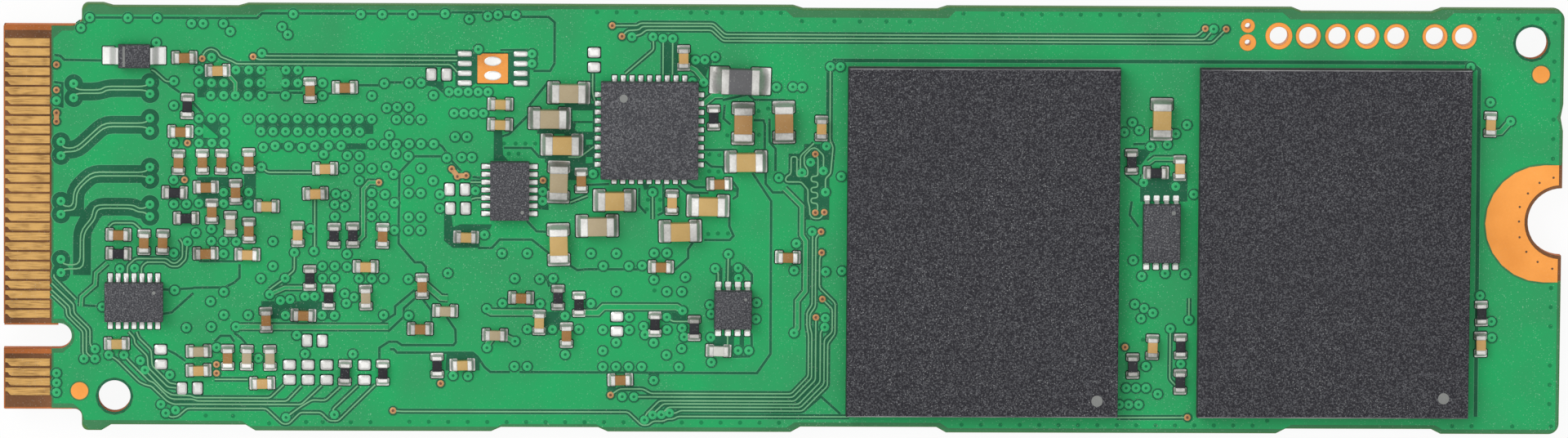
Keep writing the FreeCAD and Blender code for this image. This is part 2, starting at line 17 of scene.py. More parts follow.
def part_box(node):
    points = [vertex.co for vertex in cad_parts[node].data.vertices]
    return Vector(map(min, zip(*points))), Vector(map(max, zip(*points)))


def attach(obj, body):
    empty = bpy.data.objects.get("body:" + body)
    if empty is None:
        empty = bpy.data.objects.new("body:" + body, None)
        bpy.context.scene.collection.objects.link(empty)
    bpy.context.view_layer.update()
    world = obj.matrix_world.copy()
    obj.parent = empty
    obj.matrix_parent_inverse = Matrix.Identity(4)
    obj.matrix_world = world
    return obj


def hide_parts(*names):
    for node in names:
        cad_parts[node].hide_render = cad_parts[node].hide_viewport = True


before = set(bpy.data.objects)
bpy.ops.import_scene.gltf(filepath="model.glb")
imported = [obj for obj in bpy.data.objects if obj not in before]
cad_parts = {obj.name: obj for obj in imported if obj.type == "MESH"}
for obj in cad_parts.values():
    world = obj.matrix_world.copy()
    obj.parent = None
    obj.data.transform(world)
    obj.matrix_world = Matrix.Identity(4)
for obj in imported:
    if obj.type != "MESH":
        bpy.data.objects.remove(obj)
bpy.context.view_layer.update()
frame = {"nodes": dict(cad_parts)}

LOG = logging.getLogger("drive")
MM = 0.001
ROOT = "root"
QUARTER = math.pi / 2
Path = list[tuple[float, float]]
Spot = tuple[float, float, float]  # x, y and a radius, or x, y and z
Tree, Node, Socket = bpy.types.NodeTree, bpy.types.Node, bpy.types.NodeSocket

# Levels over the green coat: a gap's line round pads, and the pads' edges
OUTLINE_TOP = 0.0195
PAD_TOP = 0.075

# How much higher than its neighbour a part lies whose faces could meet its own
HAIR = 0.00005

# In metres from the middle: where the mask's band begins and the notch ends
BAND_SIDE = (0.0101, 0.01015)
BAND_END = (0.0395, 0.0396)
NOTCH_SIDE = (0.003, 0.0031)


# Surfaces

@dataclass
class Surface:
    """Points with the quads and triangles over them, and a finish number per face."""

    points: np.ndarray
    quads: np.ndarray
    tris: np.ndarray
    quad_finish: np.ndarray
    tri_finish: np.ndarray

    @staticmethod
    def make(points: np.ndarray, quads: np.ndarray | None = None,
             tris: np.ndarray | None = None, finish: int = 0) -> "Surface":
        """A surface of one finish.

        Args:
            points: One row per point.
            quads: Four point numbers per row.
            tris: Three point numbers per row.
            finish: Which of the piece's finishes the faces take.

        Returns:
            The surface.
        """
        quads = np.zeros((0, 4), int) if quads is None else np.asarray(quads, int)
        tris = np.zeros((0, 3), int) if tris is None else np.asarray(tris, int)
        return Surface(np.asarray(points, float).reshape(-1, 3), quads, tris,
                       np.full(len(quads), finish), np.full(len(tris), finish))

    @staticmethod
    def join(parts: list["Surface"]) -> "Surface":
        """All parts as one surface; each part's point numbers move on by those before it.

        Args:
            parts: The surfaces.

        Returns:
            The one surface.
        """
        starts = np.cumsum([0] + [len(p.points) for p in parts])[:-1]
        return Surface(np.concatenate([p.points for p in parts]),
                       np.concatenate([p.quads + s for p, s in zip(parts, starts)]),
                       np.concatenate([p.tris + s for p, s in zip(parts, starts)]),
                       np.concatenate([p.quad_finish for p in parts]),
                       np.concatenate([p.tri_finish for p in parts]))

    def dressed(self, finish: int) -> "Surface":
        """The same faces in another finish."""
        return Surface(self.points, self.quads, self.tris,
                       np.full(len(self.quads), finish), np.full(len(self.tris), finish))

    def moved(self, x: float = 0.0, y: float = 0.0, z: float = 0.0,
              turn: float = 0.0) -> "Surface":
        """A copy turned about Z by turn degrees and then shifted."""
        return self.repeated(np.array([[x, y, z]]), np.array([turn]))

    def repeated(self, places: np.ndarray, turns: np.ndarray | None = None) -> "Surface":
        """One copy at each place: point = place + turn matrix times point.

        Args:
            places: One x, y, z per copy.
            turns: Degrees about Z per copy.

        Returns:
            All the copies as one surface.
        """
        places = np.asarray(places, float).reshape(-1, 3)
        count = len(places)
        angle = np.radians(np.zeros(count) if turns is None else np.asarray(turns, float))
        cos, sin = np.cos(angle)[:, None], np.sin(angle)[:, None]
        x, y, z = self.points.T
        turned = np.stack([x * cos - y * sin, x * sin + y * cos,
                           np.broadcast_to(z, (count, len(z)))], axis=2)
        steps = (np.arange(count) * len(x))[:, None, None]
        return Surface((turned + places[:, None, :]).reshape(-1, 3),
                       (self.quads[None] + steps).reshape(-1, 4),
                       (self.tris[None] + steps).reshape(-1, 3),
                       np.tile(self.quad_finish, count), np.tile(self.tri_finish, count))

    def turned_over(self) -> "Surface":
        """A copy turned half round X, for the back side: y and z change sign."""
        return Surface(self.points * np.array([1.0, -1.0, -1.0]), self.quads, self.tris,
                       self.quad_finish, self.tri_finish)


def strip_quads(rows: int, columns: int, round_columns: bool = True,
                round_rows: bool = False) -> np.ndarray:
    """Quads over a grid of rows by columns of points, counted row by row.

    Args:
        rows: How many rings of points.
        columns: How many points in a ring.
        round_columns: True if a ring closes on itself.
        round_rows: True if the last ring joins the first.

    Returns:
        Four point numbers per quad, anticlockwise seen from outside where the
        rings go anticlockwise and the rows go up.
    """
    row, column = np.meshgrid(np.arange(rows if round_rows else rows - 1),
                              np.arange(columns if round_columns else columns - 1),
                              indexing="ij")
    above, beside = (row + 1) % rows, (column + 1) % columns
    quads = [row * columns + column, row * columns + beside,
             above * columns + beside, above * columns + column]
    return np.stack([q.ravel() for q in quads], axis=1)


def loft(rings: np.ndarray, finish: int = 0) -> Surface:
    """A closed solid: quads between the rings and a fan over the first and last.

    Args:
        rings: Rings of points from the bottom up, each anticlockwise.
        finish: The faces' finish.

    Returns:
        The solid's surface.
    """
    rows, columns = rings.shape[:2]
    points = np.concatenate([rings.reshape(-1, 3), rings[0].mean(0)[None],
                             rings[-1].mean(0)[None]])
    here = np.arange(columns)
    beside = (here + 1) % columns
    low = np.stack([np.full(columns, rows * columns), beside, here], axis=1)
    last = (rows - 1) * columns
    high = np.stack([np.full(columns, rows * columns + 1), last + here, last + beside], axis=1)
    return Surface.make(points, strip_quads(rows, columns), np.concatenate([low, high]), finish)


def rounded_ring(half_x: float, half_y: float, radius: float, steps: int) -> np.ndarray:
    """A rectangle with round corners: corner centre plus radius times (cos, sin).

    Args:
        half_x: Half its length along X.
        half_y: Half its length along Y.
        radius: The corners' radius.
        steps: Facets per corner.

    Returns:
        Its points, anticlockwise from the right side.
    """
    angle = np.linspace(0, QUARTER, steps + 1)
    angles = np.concatenate([angle + quarter * QUARTER for quarter in range(4)])
    sign_x, sign_y = np.repeat([[1, -1, -1, 1], [1, 1, -1, -1]], steps + 1, axis=1)
    return np.stack([sign_x * (half_x - radius) + radius * np.cos(angles),
                     sign_y * (half_y - radius) + radius * np.sin(angles)], axis=1)


def moulding(length: float, width: float, profile: Path,
             corner: float = 0.05, steps: int = 2, finish: int = 0) -> Surface:
    """A block with rounded corners whose sides follow a profile.

    Ring k is the rounded rectangle drawn in by inset k, at height k.

    Args:
        length: Size along X.
        width: Size along Y.
        profile: Inset and height of each ring, from the bottom up.
        corner: Radius of the upright corners.
        steps: Facets per corner.
        finish: The faces' finish.

    Returns:
        The closed block.
    """
    rings = []
    for inset, height in profile:
        flat = rounded_ring(length / 2 - inset, width / 2 - inset,
                            max(corner - inset, corner * 0.3), steps)
        rings.append(np.column_stack([flat, np.full(len(flat), height)]))
    return loft(np.array(rings), finish)


def eased(bottom: float, top: float, radius: float, steps: int = 3) -> Path:
    """Profile of an upright side that ends in a quarter round.

    Args:
        bottom: Where the side starts.
        top: Where the quarter round ends.
        radius: Its radius.
        steps: Its facets.

    Returns:
        Inset and height of each ring, from the bottom up.
    """
    angle = np.linspace(0, QUARTER, steps + 1)
    inset = radius * (1 - np.cos(angle))
    height = top - radius + radius * np.sin(angle)
    return [(0.0, bottom)] + list(zip(inset.tolist(), height.tolist()))


def swept(profile: Path, sides: int) -> np.ndarray:
    """A profile carried round Z: ring k is radius k times (cos, sin), at height k.

    Args:
        profile: Radius and height of each ring.
        sides: Points per ring.

    Returns:
        The points, shaped (rings, sides, 3).
    """
    angle = np.linspace(0, 2 * math.pi, sides, endpoint=False)
    radius, height = np.array(profile).T
    return np.stack([radius[:, None] * np.cos(angle), radius[:, None] * np.sin(angle),
                     np.broadcast_to(height[:, None], (len(radius), sides))], axis=2)


def turned(profile: Path, sides: int, finish: int = 0) -> Surface:
    """A closed solid of revolution from a profile of radius and height."""
    return loft(swept(profile, sides), finish)


def tube(profile: Path, sides: int) -> Surface:
    """A closed ring; its profile goes up on the outside and comes down in the bore."""
    return Surface.make(swept(profile, sides).reshape(-1, 3),
                        strip_quads(len(profile), sides, True, True))


def relief(x: np.ndarray, y: np.ndarray, top: np.ndarray) -> Surface:
    """A solid between level 0 and a top height over a grid.

    Args:
        x: Grid of X, growing along the first axis.
        y: Grid of Y, growing along the second axis.
        top: Height over each grid point.

    Returns:
        The closed solid: top grid, bottom grid and the wall round them.
    """
    rows, columns = x.shape
    upper = np.stack([x, y, top], axis=2).reshape(-1, 3)
    lower = np.stack([x, y, np.zeros_like(x)], axis=2).reshape(-1, 3)
    sheet = strip_quads(rows, columns, False)
    count = rows * columns
    number = np.arange(count).reshape(rows, columns)
    rim = np.concatenate([number[:-1, 0], number[-1, :-1], number[:0:-1, -1], number[0, :0:-1]])
    beside = np.roll(rim, -1)
    wall = np.stack([rim + count, beside + count, beside, rim], axis=1)
    return Surface.make(np.concatenate([upper, lower]),
                        np.concatenate([sheet[:, ::-1], sheet + count, wall]))


def ribbon(path: Path, width: float, bottom: float, top: float, slope: float) -> Surface:
    """A flat strip along a path, its corners mitred.

    At each path point the strip's two edges lie along the sum of the two
    neighbouring normals, at half the width over the cosine of half the bend.

    Args:
        path: Points of the centre line.
        width: Width at the foot.
        bottom: Level of the foot.
        top: Level of the top.
        slope: How far each side leans in on its way up.

    Returns:
        The closed strip.
    """
    line = np.array(path, float)
    along = np.diff(line, axis=0)
    along /= np.linalg.norm(along, axis=1)[:, None]
    normal = np.column_stack([-along[:, 1], along[:, 0]])
    first = np.concatenate([normal[:1], normal])
    second = np.concatenate([normal, normal[-1:]])
    mitre = first + second
    mitre /= np.linalg.norm(mitre, axis=1)[:, None]
    mitre /= np.maximum((mitre * second).sum(1), 0.35)[:, None]
    half = width / 2
    offsets = ((-half, bottom), (-half + slope, top), (half - slope, top), (half, bottom))
    rings = np.stack([np.column_stack([line + mitre * side, np.full(len(line), level)])
                      for side, level in offsets], axis=1)
    count = len(line)
    quads = strip_quads(count, 4)
    ends = np.array([[0, 1, 2, 3], [4 * count - 1, 4 * count - 2, 4 * count - 3, 4 * count - 4]])
    return Surface.make(rings.reshape(-1, 3), np.concatenate([quads[:, ::-1], ends]))


def rounded_path(path: Path, reach: float, steps: int = 4) -> Path:
    """A path whose corners are rounded off.

    Each corner becomes the curve (1-t)^2 near + 2t(1-t) corner + t^2 far, where
    near and far lie a length before and after it, or just under half a segment.

    Args:
        path: The path.
        reach: How far from its corner a curve starts.
        steps: Points per curve.

    Returns:
        The rounder path, with the same two ends.
    """
    points = np.array(path)
    ahead = np.diff(points, axis=0)
    length = np.linalg.norm(ahead, axis=1)
    cut = ahead * (np.minimum(reach, length * 0.48) / length)[:, None]
    corner = points[1:-1, None]
    near, far = corner - cut[:-1, None], corner + cut[1:, None]
    t = np.linspace(0, 1, steps)[None, :, None]
    curve = (1 - t) ** 2 * near + 2 * t * (1 - t) * corner + t ** 2 * far
    return np.concatenate([points[:1], curve.reshape(-1, 2), points[-1:]]).tolist()


def sheet_with_holes(outline: np.ndarray, holes: list[np.ndarray], bottom: float,
                     top: float) -> Surface:
    """A flat plate between two levels, with holes through it.

    Args:
        outline: The outer ring, anticlockwise.
        holes: Inner rings, clockwise.
        bottom: Lower level.
        top: Upper level.

    Returns:
        The closed plate: two triangulated faces and a wall round each ring.
    """
    rings = [outline] + holes
    flat = np.concatenate(rings)
    tris = np.array(tessellate_polygon([[Vector((x, y, 0.0)) for x, y in r] for r in rings]))
    a, b, c = flat[tris[:, 0]], flat[tris[:, 1]], flat[tris[:, 2]]
    facing = (b - a)[:, 0] * (c - a)[:, 1] - (b - a)[:, 1] * (c - a)[:, 0]
    tris[facing < 0] = tris[facing < 0][:, ::-1]
    count = len(flat)
    upper = np.column_stack([flat, np.full(count, top)])
    lower = np.column_stack([flat, np.full(count, bottom)])
    walls = []
    start = 0
    for ring in rings:
        here = start + np.arange(len(ring))
        beside = start + (np.arange(len(ring)) + 1) % len(ring)
        walls.append(np.stack([here + count, beside + count, beside, here], axis=1))
        start += len(ring)
    return Surface.make(np.concatenate([upper, lower]), np.concatenate(walls),
                        np.concatenate([tris, tris[:, ::-1] + count]))


def circle(x: float, y: float, radius: float, sides: int) -> np.ndarray:
    """Points round a circle, clockwise: centre plus radius times (cos, -sin)."""
    angle = np.linspace(0, 2 * math.pi, sides, endpoint=False)
    return np.column_stack([x + radius * np.cos(angle), y - radius * np.sin(angle)])


def traced(text: str) -> list[Path]:
    """Paths that were traced and typed as text.

    Args:
        text: Points as x,y with blanks between them, and semicolons between paths.

    Returns:
        The paths.
    """
    return [[tuple(map(float, point.split(","))) for point in path.split()]
            for path in text.split(";")]


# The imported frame

class Side(Enum):
    """Which face of the card a thing stands on."""

    FRONT = 1
    BACK = -1


@dataclass
class Cad:
    """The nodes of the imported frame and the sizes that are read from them."""

    nodes: dict[str, bpy.types.Object]

    def solids(self, name: str) -> np.ndarray:
        """The box of every separate solid of a node.

        Points at the same place are merged, and each takes the smallest label
        among the triangles that it shares until no label changes.

        Args:
            name: The node.

        Returns:
            Lowest and highest corner of each solid in mm, shaped (solids, 2, 3).
        """
        mesh = self.nodes[name].data
        mesh.calc_loop_triangles()
        points = np.zeros(len(mesh.vertices) * 3)
        mesh.vertices.foreach_get("co", points)
        points = points.reshape(-1, 3) / MM
        corners = np.zeros(len(mesh.loop_triangles) * 3, int)
        mesh.loop_triangles.foreach_get("vertices", corners)
        rounded = np.round(points * 1e4).astype(np.int64)
        merged = np.unique(rounded, axis=0, return_inverse=True)[1].ravel()
        corners = merged[corners].reshape(-1, 3)
        label = np.arange(corners.max() + 1)
        changed = True
        while changed:
            lower = label.copy()
            np.minimum.at(lower, corners.ravel(), np.repeat(label[corners].min(1), 3))
            changed = bool((lower != label).any())
            label = lower
        of_point = label[merged]
        return np.array([[points[of_point == one].min(0), points[of_point == one].max(0)]
                         for one in np.unique(of_point)])

    def low(self, name: str) -> np.ndarray:
        """Lowest corner of a node in mm."""
        return np.array(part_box(name)[0]) / MM

    def high(self, name: str) -> np.ndarray:
        """Highest corner of a node in mm."""
        return np.array(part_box(name)[1]) / MM

    def seat(self, side: Side) -> float:
        """Level of a side's green coat; the back's with the card turned over."""
        return float(self.high("front_solder_mask")[2] if side is Side.FRONT
                     else -self.low("back_solder_mask")[2])

    def rounds(self, name: str) -> list[tuple[float, ...]]:
        """The round solids of a node in mm.

        Args:
            name: The node.

        Returns:
            Middle x and y, radius, foot and top of each.
        """
        return [((low[0] + high[0]) / 2, (low[1] + high[1]) / 2, (high[0] - low[0]) / 2,
                 low[2], high[2]) for low, high in self.solids(name)]

    def middle(self, name: str) -> np.ndarray:
        """Middle of a node's box in mm."""
        return (self.low(name) + self.high(name)) / 2

    def span(self, name: str) -> np.ndarray:
        """Lengths of a node's box in mm."""
        return self.high(name) - self.low(name)


# Finishes

def linear(colour: str) -> tuple[float, float, float, float]:
    """A hex colour as linear light: c / 12.92, or ((c + 0.055) / 1.055) to the 2.4.

    Args:
        colour: A hash and six hex digits.

    Returns:
        Red, green, blue and an alpha of 1.
    """
    parts = [int(colour[i:i + 2], 16) / 255 for i in (1, 3, 5)]
    light = [c / 12.92 if c <= 0.04045 else ((c + 0.055) / 1.055) ** 2.4 for c in parts]
    return (*light, 1.0)


class Pattern(Enum):
    """How a finish varies over its surface."""

    MOTTLE = "cloudy_mottle"
    STREAKS = "rubbed_streaks"
    DASHES = "filler_dashes"


class Zone(Enum):
    """Where a finish changes to its zone colour."""

    NONE = 0
    CUT_SIDES = 1


@dataclass
class EffectGroups:
    """Shader node groups shared by the finishes; each takes a place in metres."""

    made: dict[str, Tree] = field(default_factory=dict)

    def start(self, name: str) -> tuple[Tree, Node, Node]:
        """A new group with a Vector input, a Factor output and a Height output.

        Args:
            name: The group's name.

        Returns:
            The tree, its input node and its output node.
        """
        tree = bpy.data.node_groups.new(name, "ShaderNodeTree")
        tree.interface.new_socket("Vector", in_out="INPUT", socket_type="NodeSocketVector")
        tree.interface.new_socket("Factor", in_out="OUTPUT", socket_type="NodeSocketFloat")
        tree.interface.new_socket("Height", in_out="OUTPUT", socket_type="NodeSocketFloat")
        self.made[name] = tree
        return tree, tree.nodes.new("NodeGroupInput"), tree.nodes.new("NodeGroupOutput")

    def end(self, tree: Tree, output: Node, factor: Socket, height: Socket) -> None:
        """Hands a group's factor and height to its output node."""
        tree.links.new(factor, output.inputs["Factor"])
        tree.links.new(height, output.inputs["Height"])

    def noise(self, tree: Tree, place: Socket, scale: float, detail: float = 2.0,
              stretch: Spot | None = None, turn: float = 0.0) -> Socket:
        """Noise of a size, stretched where asked.

        Args:
            tree: Where the nodes go.
            place: The vector that is looked up.
            scale: Cells per metre.
            detail: Octaves.
            stretch: Factor per axis before the look-up.
            turn: Degrees about Z before the stretch.

        Returns:
            The noise's value, from 0 to 1.
        """
        if stretch is not None:
            mapping = tree.nodes.new("ShaderNodeMapping")
            mapping.vector_type = "TEXTURE"
            mapping.inputs["Rotation"].default_value = (0.0, 0.0, math.radians(turn))
            mapping.inputs["Scale"].default_value = stretch
            tree.links.new(place, mapping.inputs["Vector"])
            place = mapping.outputs["Vector"]
        node = tree.nodes.new("ShaderNodeTexNoise")
        node.inputs["Scale"].default_value = scale
        node.inputs["Detail"].default_value = detail
        tree.links.new(place, node.inputs["Vector"])
        return node.outputs["Fac"]

    def ramp(self, tree: Tree, value: Socket, low: float, high: float,
             to_low: float = 0.0, to_high: float = 1.0) -> Socket:
        """Maps low…high onto to_low…to_high and stops there.

        Args:
            tree: Where the node goes.
            value: What is mapped.
            low: Start of the range that it comes from.
            high: End of that range.
            to_low: Start of the range that it goes to.
            to_high: End of that range.

        Returns:
            The mapped value.
        """
        node = tree.nodes.new("ShaderNodeMapRange")
        for name, number in (("From Min", low), ("From Max", high),
                             ("To Min", to_low), ("To Max", to_high)):
            node.inputs[name].default_value = number
        tree.links.new(value, node.inputs["Value"])
        return node.outputs["Result"]

    def combine(self, tree: Tree, kind: str, first: Socket, second: Socket | float) -> Socket:
        """One arithmetic step between two values.

        Args:
            tree: Where the node goes.
            kind: The node's operation.
            first: The first value.
            second: The second value, or a number.

        Returns:
            The result.
        """
        node = tree.nodes.new("ShaderNodeMath")
        node.operation = kind
        tree.links.new(first, node.inputs[0])
        if isinstance(second, float):
            node.inputs[1].default_value = second
        else:
            tree.links.new(second, node.inputs[1])
        return node.outputs[0]

    def mottle(self) -> None:
        """Soft clouds 3 mm across with a fine grain over them."""
        tree, start, output = self.start(Pattern.MOTTLE.value)
        place = start.outputs["Vector"]
        clouds = self.ramp(tree, self.noise(tree, place, 330.0, 3.0), 0.3, 0.7)
        grain = self.noise(tree, place, 9000.0, 2.0)
        both = self.combine(tree, "MULTIPLY_ADD", grain, 0.45)
        tree.links.new(clouds, both.node.inputs[2])
        self.end(tree, output, self.ramp(tree, both, 0.2, 1.25), grain)

    def streaks(self) -> None:
        """Fine rubbing marks along X and a few broad smudges."""
        tree, start, output = self.start(Pattern.STREAKS.value)
        place = start.outputs["Vector"]
        fine = self.noise(tree, place, 6500.0, 3.0, (5.0, 0.4, 1.0))
        smudge = self.noise(tree, place, 1300.0, 2.0)
        both = self.combine(tree, "MULTIPLY", self.ramp(tree, fine, 0.36, 0.68),
                            self.ramp(tree, smudge, 0.25, 0.65))
        self.end(tree, output, both, fine)

    def dashes(self) -> None:
        """The grain of a moulded epoxy, with short flecks of filler lying two ways."""
        tree, start, output = self.start(Pattern.DASHES.value)
        place = start.outputs["Vector"]
        grain = self.noise(tree, place, 13500.0, 2.0)
        total = self.ramp(tree, grain, 0.46, 0.84)
        for turn in (25.0, 118.0):
            lines = self.noise(tree, place, 9000.0, 1.0, (1.8, 0.8, 1.0), turn)
            mask = self.ramp(tree, lines, 0.68, 0.85)
            total = self.combine(tree, "MAXIMUM", total, mask)
        self.end(tree, output, total, grain)

    def dust(self) -> None:
        """Specks of dust: the cores of scattered cells of two sizes."""
        tree, start, output = self.start("dust_specks")
        place = start.outputs["Vector"]
        total = None
        for scale, size, share in ((1000.0, 0.05, 0.55), (4200.0, 0.15, 0.5),
                                   (11000.0, 0.3, 0.5)):
            cells = tree.nodes.new("ShaderNodeTexVoronoi")
            cells.inputs["Scale"].default_value = scale
            tree.links.new(place, cells.inputs["Vector"])
            core = self.ramp(tree, cells.outputs["Distance"], size, size * 0.45)
            split = tree.nodes.new("ShaderNodeSeparateColor")
            tree.links.new(cells.outputs["Color"], split.inputs["Color"])
            chosen = self.ramp(tree, split.outputs["Red"], share, share + 0.3)
            speck = self.combine(tree, "MULTIPLY", core, chosen)
            total = speck if total is None else self.combine(tree, "MAXIMUM", total, speck)
        patches = self.ramp(tree, self.noise(tree, place, 170.0, 2.0), 0.4, 0.62, 0.35, 1.0)
        patchy = self.combine(tree, "MULTIPLY", total, patches)
        self.end(tree, output, patchy, total)

    def build(self) -> None:
        """All the groups."""
        self.mottle()
        self.streaks()
        self.dashes()
        self.dust()


@dataclass(frozen=True)
class Finish:
    """One procedural finish: two colours that a pattern mixes, and its gloss."""

    name: str
    colour: str
    shade: str
    pattern: Pattern = Pattern.MOTTLE
    metallic: float = 0.0
    roughness: float = 0.5
    gloss: float = 0.5
    uneven: float = 0.12
    bump: float = 0.0
    bump_size: float = 0.004
    dust: float = 0.35
    dust_colour: str = "#c9cfc6"
    zone: Zone = Zone.NONE
    zone_colour: str = "#ffffff"
    rim_colour: str = "#ffffff"

    def zoned(self, tree: Tree, groups: EffectGroups, place: Socket, base: Socket) -> Socket:
        """The colour with the zone's over it.

        Cut sides face sideways: those by the mask are olive, and the rest orange.

        Args:
            tree: Where the nodes go.
            groups: The shared effects, for their arithmetic.
            place: The place in metres.
            base: The colour elsewhere.

        Returns:
            The mixed colour.
        """
        split = tree.nodes.new("ShaderNodeSeparateXYZ")
        tree.links.new(place, split.inputs[0])
        off = groups.combine(tree, "ABSOLUTE", split.outputs["Y"], 0.0)
        facing = tree.nodes.new("ShaderNodeSeparateXYZ")
        tree.links.new(tree.nodes.new("ShaderNodeNewGeometry").outputs["True Normal"],
                       facing.inputs[0])
        up = groups.combine(tree, "ABSOLUTE", facing.outputs["Z"], 0.0)
        side = groups.ramp(tree, up, 0.6, 0.4)
        cut = self.mix(tree, side, base, self.colour, self.zone_colour)
        long_edge = groups.ramp(tree, off, *BAND_SIDE)
        end = groups.combine(tree, "MULTIPLY",
                             groups.ramp(tree, split.outputs["X"], *BAND_END),
                             groups.ramp(tree, off, *NOTCH_SIDE))
        rim = groups.combine(tree, "MAXIMUM", long_edge, end)
        return self.mix(tree, rim, cut, self.colour, self.rim_colour)

    def build(self, groups: EffectGroups) -> bpy.types.Material:
        """The finish as a material.

        Args:
            groups: The shared effects.

        Returns:
            The material.
        """
        material = bpy.data.materials.new(self.name)
        material.use_nodes = True
        tree = material.node_tree
        shader = tree.nodes["Principled BSDF"]
        shader.inputs["Metallic"].default_value = self.metallic
        shader.inputs["Specular IOR Level"].default_value = self.gloss
        place = tree.nodes.new("ShaderNodeTexCoord").outputs["Object"]
        pattern = self.effect(tree, groups, self.pattern.value, place)
        dust = self.effect(tree, groups, "dust_specks", place)
        base = self.mix(tree, pattern.outputs["Factor"], None, self.colour, self.shade)
        if self.zone is not Zone.NONE:
            base = self.zoned(tree, groups, place, base)
        amount = groups.combine(tree, "MULTIPLY", dust.outputs["Factor"], self.dust)
        top = self.mix(tree, amount, base, self.colour, self.dust_colour)
        tree.links.new(top, shader.inputs["Base Color"])
        rough = groups.ramp(tree, pattern.outputs["Factor"], 0.0, 1.0,
                            self.roughness - self.uneven / 2, self.roughness + self.uneven / 2)
        tree.links.new(rough, shader.inputs["Roughness"])
        if self.bump:
            bump = tree.nodes.new("ShaderNodeBump")
            bump.inputs["Strength"].default_value = self.bump
            bump.inputs["Distance"].default_value = self.bump_size * MM
            tree.links.new(pattern.outputs["Height"], bump.inputs["Height"])
            tree.links.new(bump.outputs["Normal"], shader.inputs["Normal"])
        return material

    def effect(self, tree: Tree, groups: EffectGroups, name: str, place: Socket) -> Node:
        """A shared effect looked up at a place.

        Args:
            tree: Where the node goes.
            groups: The shared effects.
            name: The effect's name.
            place: The place in metres.

        Returns:
            The effect's node.
        """
        node = tree.nodes.new("ShaderNodeGroup")
        node.node_tree = groups.made[name]
        tree.links.new(place, node.inputs["Vector"])
        return node

    def mix(self, tree: Tree, factor: Socket, under: Socket | None, colour: str,
            over: str) -> Socket:
        """Colour, or what is under it, mixed towards another colour.

        Args:
            tree: Where the node goes.
            factor: How much of the other colour.
            under: A colour socket that takes the first colour's place.
            colour: The first colour.
            over: The other colour.

        Returns:
            The mixed colour.
        """
        node = tree.nodes.new("ShaderNodeMix")
        node.data_type = "RGBA"
        node.inputs[6].default_value = linear(colour)
        node.inputs[7].default_value = linear(over)
        tree.links.new(factor, node.inputs[0])
        if under is not None:
            tree.links.new(under, node.inputs[6])
        return node.outputs[2]


POUR = Finish("green_mask_on_copper", "#1fa861", "#33985f", gloss=0.1, roughness=0.4,
              dust=0.6, dust_colour="#a9dcb9")
BAND = Finish("green_mask_on_laminate", "#408556", "#35744a", gloss=0.15, roughness=0.45)
# Dark gaps, and also the patches of painted shadow beside the large capacitors
DARK = Finish("green_mask_in_gaps", "#236b4b", "#1a5a3e", gloss=0.1, roughness=0.45)
# Gap lines round pads and leads: a real gap, coloured darker than the other gaps as painted shade
# round the parts
OUTLINE = Finish("green_mask_in_outlines", "#17432f", "#113626", gloss=0.1, roughness=0.5)
PALE = Finish("green_mask_on_edges", "#80bd8d", "#6aa97b", gloss=0.15, roughness=0.4)
MINT = Finish("green_mask_on_pads", "#3fbb76", "#33aa6a", gloss=0.15, roughness=0.4)
# Painted highlight: a lighter rim along the edges of the gaps and round the vias
RIM = Finish("green_mask_on_rims", "#4fb27a", "#43a26d", gloss=0.15, roughness=0.4)
STITCH = Finish("green_mask_on_stitches", "#1d8651", "#187848", gloss=0.1, roughness=0.5)
PIT = Finish("filled_via", "#1a7c4e", "#156a42", gloss=0.15, roughness=0.6, dust=0.1)
LAMINATE = Finish("glass_laminate", "#8a5c3c", "#5f3f28", gloss=0.2, roughness=0.7, bump=0.4,
                  zone=Zone.CUT_SIDES, zone_colour="#cc7440", rim_colour="#527f48")
EDGE = Finish("cut_laminate", "#c9743c", "#9c5a2e", gloss=0.2, roughness=0.75, bump=0.5)
GOLD = Finish("gold_plating", "#c39856", "#8a6534", Pattern.STREAKS, metallic=0.6,
              roughness=0.42, bump=0.25, dust=0.2)
COPPER = Finish("bare_copper", "#f6a24a", "#e8943f", metallic=0.3, gloss=0.3, roughness=0.45,
                bump=0.2, dust=0.15)
BRONZE = Finish("dull_copper", "#cf9a66", "#b07f4c", metallic=0.3, roughness=0.5)
BRONZE_PIT = Finish("dull_copper_middle", "#7a4a2c", "#5f3720", roughness=0.6)
LAND_PIT = Finish("land_via", "#6d4a26", "#53371c", roughness=0.6)
SOLDER = Finish("solder", "#e6e6e3", "#bdbdb9", metallic=0.45, roughness=0.34, bump=0.6,
                bump_size=0.01, dust=0.1)
LEAD = Finish("tinned_lead", "#e6e6e3", "#c4c5c2", metallic=0.5, roughness=0.34, bump=0.5,
              dust=0.1)
TIN = Finish("tinned_end", "#e8e7e3", "#92918c", metallic=0.5, roughness=0.38, bump=0.8,
             bump_size=0.014, dust=0.1)
EPOXY = Finish("moulded_black", "#26252b", "#717276", Pattern.DASHES, gloss=0.15,
               roughness=0.62, uneven=0.2, bump=0.5, dust=0.7, dust_colour="#b4b6b6")
